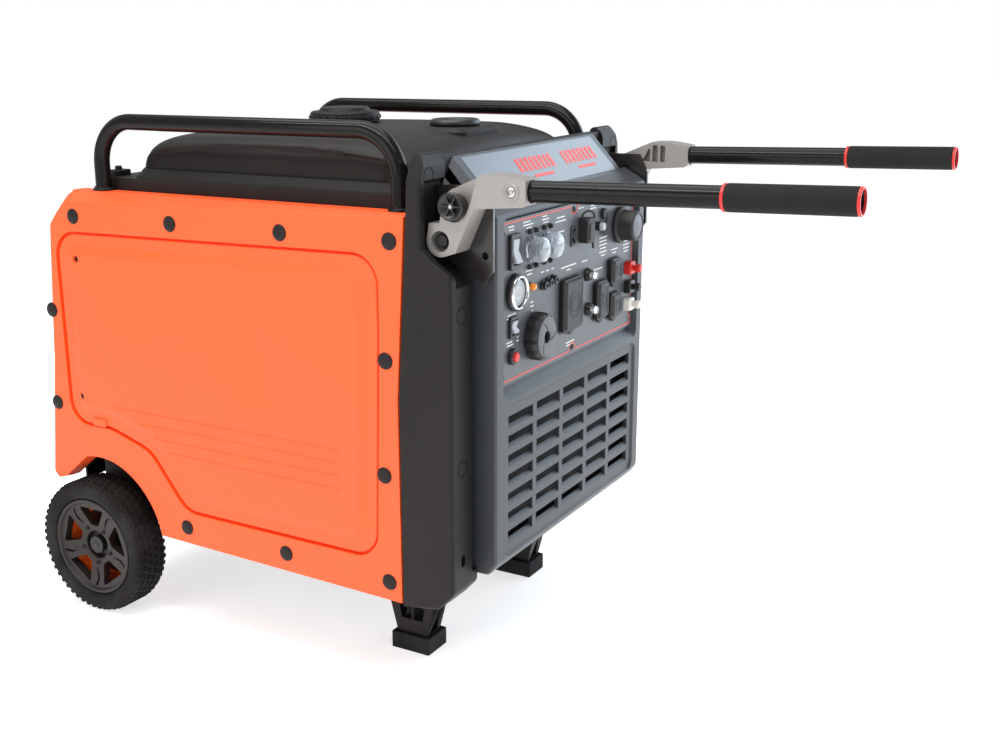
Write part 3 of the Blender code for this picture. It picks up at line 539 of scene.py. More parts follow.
def settle(obj, finish, body, stands_for):
    """Finish, shading and body for a piece whose mesh is in metres."""
    material, slot = FINISH[finish]
    obj.data.materials.clear()
    obj.data.materials.append(material)
    obj.data.shade_smooth()
    obj.data.set_sharp_from_angle(angle=radians(50))
    obj.modifiers.new("flats", "WEIGHTED_NORMAL").keep_sharp = True
    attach(obj, body)
    if stands_for:
        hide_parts(*stands_for)
    return obj


def piece(name, shape, finish, body="chassis", stands_for=()):
    """A finished piece from a bmesh in millimetres."""
    bmesh.ops.scale(shape, vec=(MM, MM, MM), verts=shape.verts)
    mesh = bpy.data.meshes.new(name)
    shape.to_mesh(mesh)
    shape.free()
    obj = bpy.data.objects.new(name, mesh)
    bpy.context.scene.collection.objects.link(obj)
    return settle(obj, finish, body, stands_for)


def refined(node, finish, bevel=1.0, segments=2, body="chassis", **more):
    """A CAD node with its edges rounded, in place of the node."""
    shape = worked(cad_copy(node), bevel=bevel, segments=segments, **more)
    return piece(f"{node}_finished", shape, finish, body, [node])


def painted_node(node, finish):
    """A CAD node whose shape is right as it is keeps it and takes a finish."""
    obj = frame["nodes"][node]
    obj.data.materials.clear()
    obj.data.materials.append(FINISH[finish][0])

print("finishes ready", len(FINISH))

# %% [markdown]
# ## Trees for what repeats
# Push-in bolts, screws, ribs and tread blocks are one small part set down many times. Two
# Geometry Nodes trees place them: one puts a copy on each vertex of the mesh that it is given, the
# other puts copies round an axis in staggered rows. Both end by making the copies real.


# %% Geometry Nodes trees
def new_tree(name, inputs):
    """A Geometry Nodes group with named inputs; returns the Tree, its inputs and its output node."""
    group = bpy.data.node_groups.new(name, "GeometryNodeTree")
    group.interface.new_socket("Geometry", in_out="INPUT", socket_type="NodeSocketGeometry")
    for label, kind in inputs.items():
        group.interface.new_socket(label, in_out="INPUT", socket_type=f"NodeSocket{kind}")
    group.interface.new_socket("Geometry", in_out="OUTPUT", socket_type="NodeSocketGeometry")
    tree = Tree(group)
    entry = group.nodes.new("NodeGroupInput")
    given = {socket.name: Field(tree, socket) for socket in entry.outputs if socket.name}
    return tree, given, group.nodes.new("NodeGroupOutput")


def close_tree(tree, geometry, material, leave):
    real = tree.node("GeometryNodeRealizeInstances", None, geometry)
    done = tree.node("GeometryNodeSetMaterial", None, real, Material=material)
    tree.group.links.new(done.socket, leave.inputs[0])
    return tree.group


def tree_on_points():
    """A copy of an object on every vertex."""
    tree, given, leave = new_tree("copies on points", {"Copy": "Object", "Material": "Material"})
    copy = tree.node("GeometryNodeObjectInfo", None, given["Copy"], out="Geometry")
    placed = tree.node("GeometryNodeInstanceOnPoints", None, given["Geometry"], Instance=copy)
    return close_tree(tree, placed, given["Material"], leave)


def tree_round_axis():
    """Copies round the Y axis in rows, every second row turned by half a step."""
    inputs = {"Copy": "Object", "Material": "Material", "Count": "Int", "Rows": "Int", "Radius": "Float",
              "Row Pitch": "Float"}
    tree, given, leave = new_tree("copies round an axis", inputs)
    index = tree.node("GeometryNodeInputIndex")
    row = index % given["Rows"]
    step = (index - row) / given["Rows"] + (row % 2.0) * 0.5
    turn = step * (2 * pi) / given["Count"]
    across = (row - (given["Rows"] - 1.0) * 0.5) * given["Row Pitch"]
    x, z = turn.math("COSINE", turn) * given["Radius"], turn.math("SINE", turn) * given["Radius"]
    spot = tree.node("ShaderNodeCombineXYZ", None, x, across, z)
    points = tree.node("GeometryNodePoints", None, given["Count"] * given["Rows"], spot)
    copy = tree.node("GeometryNodeObjectInfo", None, given["Copy"], out="Geometry")
    facing = tree.node("ShaderNodeCombineXYZ", None, 0.0, turn * -1.0, 0.0)
    placed = tree.node("GeometryNodeInstanceOnPoints", None, points, Instance=copy, Rotation=facing)
    return close_tree(tree, placed, given["Material"], leave)


ON_POINTS, ROUND_AXIS = tree_on_points(), tree_round_axis()


def run_tree(group, base, copy, finish, **values):
    """The tree's result as a bmesh in millimetres. base and copy are bmeshes in millimetres."""
    host, part = scratch(base), scratch(copy)
    step = host.modifiers.new("repeat", "NODES")
    step.node_group = group
    sockets = {item.name: item.identifier for item in group.interface.items_tree if item.in_out == "INPUT"}
    settings = {"Copy": part, "Material": FINISH[finish][0], **values}
    for label, value in settings.items():
        step[sockets[label]] = value
    bpy.context.view_layer.update()
    result = bmesh.new()
    mesh = bpy.data.meshes.new_from_object(host.evaluated_get(bpy.context.evaluated_depsgraph_get()))
    result.from_mesh(mesh)
    for obj in (host, part):
        bpy.data.meshes.remove(obj.data)
    bpy.data.meshes.remove(mesh)
    return result


def on_points(places, copy, finish):
    base = bmesh.new()
    for place in places:
        base.verts.new(place)
    return run_tree(ON_POINTS, base, copy, finish)


def round_axis(copy, finish, count, radius, rows=1, pitch=0.0):
    values = {"Count": count, "Rows": rows, "Radius": float(radius), "Row Pitch": float(pitch)}
    return run_tree(ROUND_AXIS, bmesh.new(), copy, finish, **values)


def aim(shape, centre, along="y"):
    """Turns a shape that was made round the Y axis to another axis and moves it to a centre."""
    turn = {"y": Matrix(), "x": Matrix.Rotation(-pi / 2, 4, "Z"),
            "z": Matrix.Rotation(pi / 2, 4, "X")}[along]
    bmesh.ops.transform(shape, matrix=Matrix.Translation(centre) @ turn, verts=shape.verts)
    return shape


print("trees", ON_POINTS.name, "and", ROUND_AXIS.name)

# %% [markdown]
# ## Side covers and access doors
# Each side is one orange shell with a generous radius along its top, rear and bottom, almost none
# where it meets the black front, and a softer lip round the wheel arch. The access door sits in a
# shallow seat with a shadow gap, and its middle is raised behind a wide chamfer.

# %% Side covers
COVER = span("side_cover_right")
WALL_Y, SHELF_Y = COVER[1].y, COVER[0].y
COVER_IN = 262.0
WHEEL = middle("tyre_right")
ARCH_X, ARCH_Z, ARCH_R = -475.0, 118.0, 118.0
DOOR = rounded([(-516.5, 568), (30.5, 577), (30.5, 480), (21, 187), (-300, 189), (-363, 268), (-440, 291),
                (-514.5, 289)], [36, 36, 300, 34, 40, 60, 90, 34], 8)


def cover_shape():
    """The shell's outline, and how much of the edge radius each point gets."""
    low, high = COVER
    front = [(60.5, low.z), (59.5, 400), (72.5, high.z)]
    rear = rounded([(72.5, high.z), (-500, high.z), (-541.5, 585), (-557, 400), (-567.5, 203), (-557, 190),
                    (-536.5, 198)], [0, 40, 30, 900, 9, 9, 0], 8)[1:]
    lip = arc((ARCH_X, ARCH_Z), ARCH_R, 98, 8, 28)
    outline = front + rear + lip
    soft = [min(0.45, 0.2 + 0.03 * k) for k in range(len(lip))]
    share = [0.1, 0.1, 0.1] + [1.0 if z > 230 else 0.2 for _, z in rear] + soft
    return outline, share


def make_cover(name, side):
    outline, share = cover_shape()
    shoulder = [(0, COVER_IN), (0, WALL_Y - 21), (0.8, WALL_Y - 19.4), (2.0, WALL_Y - 17.8),
                (13.6, WALL_Y - 2.2),
                (15.2, WALL_Y - 0.8), (17.2, WALL_Y - 0.1), (18.6, WALL_Y)]
    shell = pad(outline, shoulder, "y", share)
    seat = pad(inset(DOOR, -3.0), [(0, WALL_Y - 8), (0, WALL_Y + 9)], "y")
    shell = worked(shell, cut=[seat], bevel=2.0, segments=3, angle=40)
    shelf = soft_slab((-500, SHELF_Y), (59, COVER_IN + 4), 6, edge(2, COVER[1].z - 5, COVER[1].z - 0.2, 3),
                      "z")
    piece(f"side_shell_{name}", mirrored(together(shell, shelf), side), "orange_cover",
          stands_for=[f"side_cover_{name}"])
    relief = [(16, WALL_Y - 1.6), (17.5, WALL_Y - 1.3), (27, WALL_Y + 1.9), (29, WALL_Y + 2.5),
              (31, WALL_Y + 2.7)]
    door = pad(DOOR, edge(3.0, WALL_Y - 8, WALL_Y - 1.6, 5) + relief, "y")
    ribs = [pad(slab_outline((x, z - 2.4), (-31, z + 2.4), 2.3), edge(1.2, WALL_Y + 1.5, WALL_Y + 3.6, 3),
                "y")
            for x, z in ((-427, 322), (-379, 304.5), (-352, 287), (-328, 269.5))]
    screws = [(-477.5, 533), (-489.5, 331)]
    holes = [turned([(0, WALL_Y - 3), (4.6, WALL_Y - 3), (5.2, WALL_Y + 5), (0, WALL_Y + 5)], (x, 0, z),
                    "y", 24)
             for x, z in screws]
    door = worked(door, cut=holes)
    piece(f"door_panel_{name}", mirrored(together(door, *ribs), side), "orange_cover",
          stands_for=[f"access_door_{name}"])
    head = turned([(0, -1), (3.6, -1), (3.9, 1.2), (3.2, 2.2), (1.6, 2.2), (1.3, 0.9), (0, 0.9)],
                  along="y", sides=20)
    heads = on_points([(x, WALL_Y - 2, z) for x, z in screws], head, "dark_bolt")
    piece(f"door_screws_{name}", mirrored(heads, side), "dark_bolt")
    tab = pad(slab_outline((-473, 289), (-446, 301), 4), edge(1.6, WALL_Y - 4, WALL_Y + 1.2, 3), "y")
    piece(f"door_latch_{name}", mirrored(tab, side), "orange_cover")


for name, side in SIDES:
    make_cover(name, side)
print("cover wall at", round(WALL_Y, 1), "mm")

# %% [markdown]
# ### Push-in bolts
# Eleven low black domes hold each cover. One dome is turned, and the tree sets it on every place.

# %% Push-in bolts
BOLTS = [(-478.5, 593), (-297.5, 594), (-113.5, 595), (50.5, 596), (-537.5, 454), (-543.5, 314),
         (-301.5, 164),
         (-125.5, 162), (40.5, 158), (41.5, 449), (36.5, 301)]
for name, side in SIDES:
    dome = turned([(0, -2), (10.8, -2), (10.8, 0.4), (10.2, 1.3), (8.4, 2.1), (5.0, 2.7), (0, 2.9)],
                  along="y", sides=40)
    bolts = on_points([(x, WALL_Y - 0.2, z) for x, z in BOLTS], dome, "black_moulding")
    piece(f"cover_bolts_{name}", mirrored(bolts, side), "black_moulding")
print("bolts each side", len(BOLTS))

# %% [markdown]
# ## Wheels
# A solid tyre has smooth side walls and a tread of small hollow squares in staggered rows. Its wheel
# has five spokes, each with a groove and a socket screw, over an orange barrel that shows as a bright
# arc in every window.

# %% Tyres
TYRE = span("tyre_right")
TYRE_R, TYRE_OUT, TYRE_IN = (TYRE[1].z - TYRE[0].z) / 2, TYRE[1].y, TYRE[0].y
AXLE = Vector((WHEEL.x, 0, WHEEL.z))
SEAT_R = 75.0
TREAD = 1.9


def make_tyre(name, side):
    out, inner, r = TYRE_OUT, TYRE_IN, TYRE_R - TREAD
    half = [(SEAT_R - 1, out - 5), (SEAT_R + 1.2, out - 2), (SEAT_R + 3.5, out - 0.6), (SEAT_R + 8, out),
            (r - 9, out),
            (r - 4.5, out - 0.9), (r - 1.6, out - 3.4), (r, out - 8)]
    other = [(radius, inner + out - h) for radius, h in half]
    body = turned(half + other[::-1], AXLE, "y", 96)
    outer = slab_outline((-3.3, -3.3), (3.3, 3.3), 0.8, 2)
    loops = [(outer, -1.2), (outer, TREAD - 0.3), (inset(outer, 0.5), TREAD), (inset(outer, 1.5), TREAD),
             (inset(outer, 1.8), 0.4)]
    square = rings([[(h, a, b) for a, b in loop] for loop, h in loops])
    tread = round_axis(square, "tyre", 52, r, 4, 11.6)
    bmesh.ops.translate(tread, vec=AXLE + Vector((0, (out + inner) / 2, 0)), verts=tread.verts)
    lug = rings([[(h, a, b) for a, b in slab_outline((-3.4, -3.1), (3.4, 3.1), 0.8, 2)]
                 for h in (-3.5, 0.0)])
    edges = round_axis(lug, "tyre", 52, r - 1.3, 2, out - inner - 8)
    bmesh.ops.translate(edges, vec=AXLE + Vector((0, (out + inner) / 2, 0)), verts=edges.verts)
    piece(f"treaded_tyre_{name}", mirrored(together(body, tread, edges), side), "tyre", f"wheel_{name}",
          [f"tyre_{name}"])


for name, side in SIDES:
    make_tyre(name, side)
print("tyre radius", round(TYRE_R, 1), "mm, width", round(TYRE_OUT - TYRE_IN, 1), "mm")

# %% Rims
def spoke_cut(angle):
    """One window between two spokes, as a cutter through the rim's face."""
    hub = arc((AXLE.x, AXLE.z), 31, angle + 13, angle - 13, 6)
    rim = arc((AXLE.x, AXLE.z), 63.5, angle - 23, angle + 23, 10)
    corners = rounded([hub[0], hub[-1], rim[0], rim[-1]], [5, 5, 2.5, 2.5], 4)
    return pad(corners, [(0, TYRE_OUT - 30), (0, TYRE_OUT + 4)], "y")


def groove_cut(angle):
    """The curved slot pressed into a spoke."""
    line = [(37 + 27 * k / 8, angle + 5 * sin(pi * k / 8) - 2) for k in range(9)]
    left = [(r, a - 105 / r) for r, a in line]
    right = [(r, a + 105 / r) for r, a in line]
    points = [(AXLE.x + r * cos(radians(a)), AXLE.z + r * sin(radians(a))) for r, a in left + right[::-1]]
    return pad(points, [(0, TYRE_OUT - 11.5), (0, TYRE_OUT + 4)], "y")


def make_rim(name, side):
    out = TYRE_OUT
    face = [(9, out - 29), (60, out - 20), (66, out - 20), (SEAT_R - 2.6, out - 20),
            (SEAT_R - 1.2, out - 18),
            (SEAT_R - 1.2, out - 5), (SEAT_R - 2.0, out - 3.2), (SEAT_R - 4.2, out - 2.6),
            (SEAT_R - 6.8, out - 3.4),
            (SEAT_R - 8.4, out - 6.4), (48, out - 9), (30, out - 12), (24, out - 12.6), (21.5, out - 14),
            (20.5, out - 23), (9, out - 23)]
    windows = together(*[spoke_cut(90 + 72 * k) for k in range(5)])
    grooves = together(*[groove_cut(54 + 72 * k) for k in range(5)])
    shape = worked(turned(face, AXLE, "y", 120), cut=[windows, grooves], bevel=0.9, segments=2, angle=38)
    piece(f"spoked_rim_{name}", mirrored(shape, side), "rim", f"wheel_{name}", [f"rim_{name}"])
    barrel = turned([(52, TYRE_IN + 9), (66, TYRE_IN + 9), (SEAT_R - 3, TYRE_IN + 3),
                     (SEAT_R - 1.2, TYRE_IN + 5),
                     (SEAT_R - 3, out - 22), (66.5, out - 9.5), (64.6, out - 9.5), (61, out - 30),
                     (56, TYRE_IN + 13),
                     (52, TYRE_IN + 13)], AXLE, "y", 96)
    piece(f"orange_barrel_{name}", mirrored(barrel, side), "rim_orange", f"wheel_{name}")
    socket = turned([(0, -6), (3.6, -6), (3.6, 0.6), (3.1, 1.1), (2.1, 1.1), (1.9, -1.2), (0, -1.2)],
                    along="y", sides=16)
    places = [(AXLE.x + 28.5 * cos(radians(54 + 72 * k)), out - 11.4,
               AXLE.z + 28.5 * sin(radians(54 + 72 * k)))
              for k in range(5)]
    piece(f"rim_screws_{name}", mirrored(on_points(places, socket, "dark_bolt"), side), "dark_bolt",
          f"wheel_{name}")
    back = turned([(9, TYRE_IN + 10), (52, TYRE_IN + 12), (52, TYRE_IN + 15), (30, out - 30),
                   (9, out - 30)], AXLE, "y", 64)
    piece(f"rim_back_{name}", mirrored(back, side), "rim", f"wheel_{name}")
    nut = pad([(AXLE.x + 9 * cos(pi * k / 3), AXLE.z + 9 * sin(pi * k / 3)) for k in range(6)],
              edge(1.5, out - 23, out - 15.5, 3), "y")
    washer = turned([(0, out - 23.5), (14, out - 23.5), (14, out - 21.6), (12.8, out - 21), (0, out - 21)],
                    AXLE, "y", 32)
    stub = turned([(0, out - 16), (5.4, out - 16), (5.4, out - 12.4), (4.4, out - 11.4), (0, out - 11.4)],
                  AXLE, "y", 24)
    piece(f"axle_nut_{name}", mirrored(together(nut, washer, stub), side), "dark_bolt", f"wheel_{name}")


for name, side in SIDES:
    make_rim(name, side)
print("tyre radius", round(TYRE_R, 1), "mm")
print("rim seat radius", SEAT_R, "mm")

# %% [markdown]
# ## Carry rails
# Each rail is one bent tube that stands in a collar. A swept circle with true bend arcs is enough;
# the deep gloss does the rest.

# %% Carry rails
RAIL_R, RAIL_BEND = 11.0, 58.0
RAIL_X = (span("rail_right")[0].x + 16, span("rail_right")[1].x - 16)


def make_rail(name, side):
    low, high = span("rail_right")
    top, y = high.z - RAIL_R, middle("rail_right").y
    rear_x, front_x = RAIL_X
    path = [(rear_x, low.z + 0.2)] + arc((rear_x + RAIL_BEND, top - RAIL_BEND), RAIL_BEND, 180, 90, 16)
    path += arc((front_x - RAIL_BEND, top - RAIL_BEND), RAIL_BEND, 90, 0, 16) + [(front_x, low.z + 0.2)]
    shapes = [tube([(x, y, z) for x, z in path], RAIL_R, 40)]
    collar = [(0, 0), (15.2, 0), (15.2, 1.2), (14.4, 2), (12.4, 2.4), (11.5, 3.6), (11.2, 5.5), (0, 5.5)]
    for x in RAIL_X:
        shapes.append(turned(collar, (x, y, low.z), "z", 48))
    piece(f"carry_rail_{name}", mirrored(together(*shapes), side), "gloss_black",
          stands_for=[f"rail_{name}"])


for name, side in SIDES:
    make_rail(name, side)
print("rail bar", 2 * RAIL_R, "mm, bent at", RAIL_BEND, "mm")

# %% [markdown]
# ## Tank cover
# The hump over the tank is a crowned block whose walls lean in and roll over the top. Its rings
# follow a superellipse, and the side walls are pushed in below an arched crest, which gives the
# panel that catches the light.

# %% Tank cover
def crown(x, y):
    """Height of the hump's crown: it falls to both sides and drops towards the front."""
    front = max(0.0, (x + 70) / 110)
    return 711.5 - 6.5 * abs((x + 140) / 260) ** 2.2 - 17 * front**2 - 9.5 * (y / 226) ** 2


def crest(x):
    """Top edge of the recessed side panel."""
    return 695 - 13.5 * ((x + 185) / 205) ** 2


def divided(outline, counts):
    """The outline with each of its sides cut into a given number of parts, so that rings match."""
    out = []
    for a, b, count in zip(outline, outline[1:] + outline[:1], counts):
        out += [tuple(Vector(a).lerp(Vector(b), k / count)) for k in range(count)]
    return out


def hump_ring(height, drawn_in):
    """One ring of the hump; height goes from 0 at the foot to 1 on the crown."""
    low, high = (-412 + 1.25 * drawn_in, -226 + drawn_in), (46 - 0.75 * drawn_in, 226 - drawn_in)
    corners = slab_outline(low, high, max(5.0, 34 - drawn_in * 0.3), 6)
    arcs = [1] * 6
    points = []
    for x, y in divided(corners, arcs + [44] + arcs + [30] + arcs + [44] + arcs + [30]):
        z = 644 + (crown(x, y) - 644) * height
        ends = max(0.0, min(1.0, (x + 398) / 7, (12 - x) / 7))
        pushed = max(0.0, min(1.0, (crest(x) - z) / 5.0)) * ends if abs(y) > 150 else 0.0
        points.append((x, y - 6.5 * pushed * (1 if y > 0 else -1), z))
    return points


def make_top():
    steps = [sin(radians(90 * k / 26)) for k in range(27)]
    walls = [(h, 54 * (1 - (1 - h**3.0) ** (1 / 3.0))) for h in steps]
    loops = [hump_ring(h, d) for h, d in walls] + [hump_ring(1.0, d) for d in (80, 115, 150, 185, 215)]
    low, high = span("top_cover")
    y, rail_y = high.y, middle("rail_right").y
    skirt = pad([(-500, low.z), (high.x, low.z), (high.x, 644), (-466, 644)], [(0, -y), (0, y)], "y")
    posts = [turned([(0, 627), (17.4, 627), (17.4, 700), (0, 700)], (x, s * rail_y, 0), "z", 40)
             for x in RAIL_X for _, s in SIDES]
    skirt = worked(skirt, cut=posts, bevel=2.2, segments=3)
    foot = [(0, 640), (0, 644.5), (1.5, 646.5), (7, 652), (10, 655.5), (11.5, 657)]
    ledge = soft_slab((-424, -236), (54, 236), 40, foot, "z")
    piece("tank_cover", together(rings(loops), skirt, ledge), "black_moulding", stands_for=["top_cover"])
    clip = together(soft_slab((-470, 196), (-448, 226), 4, edge(1.5, 640, 652, 3), "z"),
                    turned([(0, 650), (5, 650), (5, 656), (3.6, 657.4), (0, 657.4)], (-459, 211, 0), "z",
                           24))
    piece("seat_clips", both(lambda: clip.copy()), "black_moulding")


make_top()
print("tank cover crown", round(crown(-120, 0), 1), "mm")

# %% [markdown]
# ### Fuel cap and gauge
# The cap is a low turned drum with a finger rib every fifteen degrees and a smaller tier on top.

# %% Fuel cap and gauge
def make_cap():
    low, high = span("fuel_cap")
    x, r, foot = middle("fuel_cap").x, (high.x - low.x) / 2, high.z - 21
    profile = [(0, foot - 16), (22, foot - 16), (22, foot), (r - 3, foot), (r - 1.6, foot + 1.5),
               (r - 1.6, foot + 11.5),
               (r - 3, foot + 14.2), (r - 6, foot + 15.5), (r - 14, foot + 15.5), (r - 15.5, foot + 16.5),
               (r - 16.5, foot + 19.5), (r - 18.5, foot + 21), (10, foot + 20.2), (0, foot + 20)]
    rib = pad(slab_outline((-1.7, -2.6), (1.7, 2.6), 1.4, 4), edge(1.2, -5.6, 5.6, 3), "z")
    ribs = aim(round_axis(rib, "black_moulding", 24, r - 1.7), (0, 0, 0), "z")
    rib_height = foot + 7
    bmesh.ops.translate(ribs, vec=(x, 0, rib_height), verts=ribs.verts)
    piece("fuel_cap_ribbed", together(turned(profile, (x, 0, 0), "z", 96), ribs), "black_moulding",
          "fuel_cap",
          ["fuel_cap"])


def make_gauge():
    low, high = span("fuel_gauge")
    centre, r = middle("fuel_gauge"), (high.x - low.x) / 2
    foot = high.z - 9
    profile = [(0, foot - 12), (20, foot - 12), (20, foot), (r - 1.5, foot), (r, foot + 1.5), (r, foot + 5),
               (r - 1.6, foot + 7.6), (r - 4.5, foot + 9), (r - 9, foot + 8.4), (r - 11, foot + 5.6),
               (0, foot + 5.2)]
    piece("fuel_gauge_rim", turned(profile, (centre.x, centre.y, 0), "z", 72), "switch_black",
          stands_for=["fuel_gauge"])
    lens = turned([(0, foot + 5), (r - 11, foot + 5), (r - 12, foot + 6.6), (0, foot + 7.4)],
                  (centre.x, centre.y, 0), "z", 48)
    piece("fuel_gauge_lens", lens, "switch_black")
    seat = pad(slab_outline((centre.x - 52, centre.y - 58), (centre.x + 44, centre.y + 58), 16),
               [(0, 690), (0, foot - 6), (6, foot - 1.5), (9, foot - 0.6), (11, foot - 0.5)], "z")
    piece("gauge_seat", seat, "black_moulding")


make_cap()
make_gauge()
print("fuel cap turns about", [round(c, 1) for c in middle("fuel_cap")])

# %% [markdown]
# ## Front surround
# The black surround is one rounded profile across the whole width. A band is cut out for the front
# block, each cheek gets a pocket for its handle arm, and a narrow channel parts the flange from the
# block. Blind plugs are only rings pressed into the skin.

# %% Front surround
HALF, FLANGE, FACE, BLOCK, PANEL = 285.5, 135.5, 162.8, 226.0, 155.5


def flat(outline, low, high, along="y"):
    """An outline as a slab with sharp edges, for cutting."""
    return pad(outline, [(0, low), (0, high)], along)


def make_surround():
    corners = [(61, 129), (112.5, 135), (FLANGE, 160), (FLANGE, 558), (111.5, 574), (93.5, 590),
               (93.5, 684),
               (86, 697), (74, 699), (73.8, 627.3), (60.2, 400)]
    outline = rounded(corners, [0, 16, 14, 14, 8, 10, 8, 6, 7, 0, 0], 5)
    share = [0.12 if x < 75 and z < 690 else 1.0 for x, z in outline]
    shape = pad(outline, edge(4.5, -HALF, HALF, 5, 4.5), "y", share)
    pocket = rounded([(87, 668), (87, 580), (93, 573), (142, 540), (142, 668)], [6, 3, 3, 3, 3], 4)
    slope = [(HALF + 5, 650), (HALF + 5, 720), (HALF - 30, 720), (HALF - 15, 692)]
    cuts = [block((0, -BLOCK - 0.4, 158), (200, BLOCK + 0.4, 672)),
            block((87.6, -BLOCK - 0.4, 120), (200, BLOCK + 0.4, 760)),
            block((70, -222, 691.5), (100, 222, 720)), block((0, -BLOCK + 8, 100), (70, BLOCK - 8, 640)),
            both(lambda: flat(pocket, 220, 274)), both(lambda: block((96, 220, 176), (150, 239, 560))),
            both(lambda: flat(slope, 0, 200, "x"))]
    plug_ring = [(9.6, -1.1), (10.9, -1.1), (10.9, 2), (9.6, 2)]
    for x, y, z in ((FLANGE, 262, 510), (FLANGE, 262, 320), (93.5, 264, 672)):
        cuts.append(both(lambda: turned(plug_ring, (x, y, z), "x", 40)))
    cuts.append(both(lambda: flat(slab_outline((256, 190), (266, 206), 4.8), 120, 150, "x")))
    shape = worked(shape, cut=cuts, bevel=2.2, segments=3, angle=35)
    shelf = pad(slab_outline((44, -222), (75.5, 222), 3), edge(2, 672.5, 686, 3), "z")
    piece("front_surround_moulding", together(shape, shelf), "black_moulding",
          stands_for=["front_surround"])
    # The two near-black ovals on the shelf are painted shade standing for the insides of its screw pockets.
    ovals = pad(rounded([(48, -6), (62, -6), (62, 6), (48, 6)], 5.9, 6),
                [(0, 685), (0, 686.4), (1.2, 686.4), (1.6, 685.4)], "z")
    spots = [(0, y, 0) for y in (-79.5, 79.5)]
    piece("shelf_screws", on_points(spots, ovals, "painted_shade_black"), "painted_shade_black")


make_surround()
print("surround width", 2 * HALF, "mm")

# %% [markdown]
# ## Front block
# One profile again: a straight face, a sloping console above it and a rounded foot. Its console is
# chamfered at both ends. The panel lies in a recess whose lower side is a long slope, and the grille
# is a sunk field with thirty-five slots, each with a slanted lower lip.

# %% Front block
SLOPE_TOP = Vector((88.0, 0, 690.0))
DOWN = (Vector((136.0, 0, 638.0)) - SLOPE_TOP).normalized()
OUT = Vector((-DOWN.z, 0, DOWN.x))


def on_console(y, along, out):
    """A point given by its width, its distance down the console and its height above it."""
    return tuple(SLOPE_TOP + DOWN * along + OUT * out + Vector((0, y, 0)))


def console_pad(points, low, high):
    """A flat print or film on the console from (y, distance down) points."""
    return rings([[on_console(y, down, out) for y, down in points] for out in (low, high)])


def make_grille():
    """The slotted plate, cell by cell: each cell is a frame round its slot and shares its border."""
    front, back = FACE - 2.9, FACE - 9
    mesh = bmesh.new()
    for row in range(7):
        top = 370 - 25.5 * row
        low, high = (184 if row == 6 else top - 20.75), (385 if row == 0 else top + 4.75)
        for column in range(5):
            end = -122 + 77.8 * column
            start = end - 67
            left, right = (-206 if column == 0 else start - 5.4), (206 if column == 4 else end + 5.4)
            steps = [(front, left, right, low, high),
                     (front, start - 0.8, end + 0.8, top - 16.8, top + 0.8),
                     (front - 0.25, start - 0.25, end + 0.25, top - 16.25, top + 0.25),
                     (front - 0.8, start, end, top - 16, top), (front - 4.6, start, end, top - 12, top),
                     (back, start, end, top - 12, top), (back, left, right, low, high)]
            loops = [[mesh.verts.new((x, y, z)) for y, z in ((a, c), (b, c), (b, d), (a, d))]
                     for x, a, b, c, d in steps]
            for one, two in zip(loops, loops[1:]):
                for k in range(4):
                    mesh.faces.new((one[k], one[k - 3], two[k - 3], two[k]))
    bmesh.ops.remove_doubles(mesh, verts=mesh.verts, dist=0.01)
    bmesh.ops.bridge_loops(mesh, edges=[e for e in mesh.edges if len(e.link_faces) == 1])
    bmesh.ops.recalc_face_normals(mesh, faces=mesh.faces)
    piece("grille_plate", mesh, "grey_front")


def make_block():
    low, high, back = 168.0, 623.0, 88.0
    corners = [(back, low), (150.8, low), (FACE, 184), (FACE, high), (152.8, 629.5), (136, 638),
               (back, 690)]
    outline = rounded(corners, [0, 8, 14, 7, 5.5, 10, 0], 5)
    shape = pad(outline, edge(3.2, -BLOCK, BLOCK, 4, 3.2), "y")
    wedge = [(240, 4), (196, 4), (240, -34)]
    cuts = [both(lambda: rings([[on_console(y, down, out) for y, out in wedge] for down in (-60, 66)]))]
    inside = [(83, 174), (148, 174), (150, 190), (150, 616), (130, 631), (84, 683)]
    cuts.append(flat(inside, -BLOCK + 7, BLOCK - 7))
    recess = [(slab_outline((-205, 405), (205, 618), 9), 151.4),
              (slab_outline((-208, 391), (208, 621), 12), FACE + 1)]
    field = [(slab_outline((-203, 187), (203, 382), 12), FACE - 3.4),
             (slab_outline((-207, 183), (207, 386), 16), FACE + 1)]
    for pair in (recess, field):
        cuts.append(rings([[(x, a, b) for a, b in loop] for loop, x in pair]))
    cuts.append(block((140, -192, 422), (156, 192, 604)))
    cuts.append(block((140, -206.2, 183.8), (FACE - 2.8, 206.2, 385.2)))
    shape = worked(shape, cut=cuts, bevel=1.3, segments=3, angle=28)
    piece("front_block", shape, "grey_front", stands_for=["front_fascia"])
    # A near-black sheet behind the grille is painted shade: it makes what shows through the slots dark.
    shade_sheet = pad(slab_outline((-200, 186), (200, 386), 4), [(0, 133), (0, 135)], "x")
    piece("grille_screen", shade_sheet, "painted_shade_black")
    film = rounded([(-186, 4), (186, 4), (186, 66), (-186, 66)], 3, 4)
    piece("console_film", console_pad(film, -1.0, 0.3), "console_film")
    marks = []
    for middle_y, width in ((-22, 104), (110, 104)):
        for k in range(8):
            left = middle_y - width / 2 + k * 13
            marks.append(console_pad([(left + 3, 20), (left + 11, 20), (left + 8, 41), (left, 41)], -0.5,
                                     0.55))
        marks.append(console_pad([(middle_y - 26, 48), (middle_y + 30, 48), (middle_y + 29, 52),
                                  (middle_y - 27, 52)], -0.5, 0.55))
    piece("console_marks", together(*marks), "red_print")


make_block()
make_grille()
print("console slope runs along", [round(c, 3) for c in DOWN])

# %% [markdown]
# ## Control panel
# The plate carries a thin red border that steps round its screws. Next to each control stands a
# group of short white bars where such a panel would carry words.

# %% Panel plate
def hole(y, z, width, height):
    return block((PANEL - 12, y - width / 2, z - height / 2), (PANEL + 12, y + width / 2, z + height / 2))


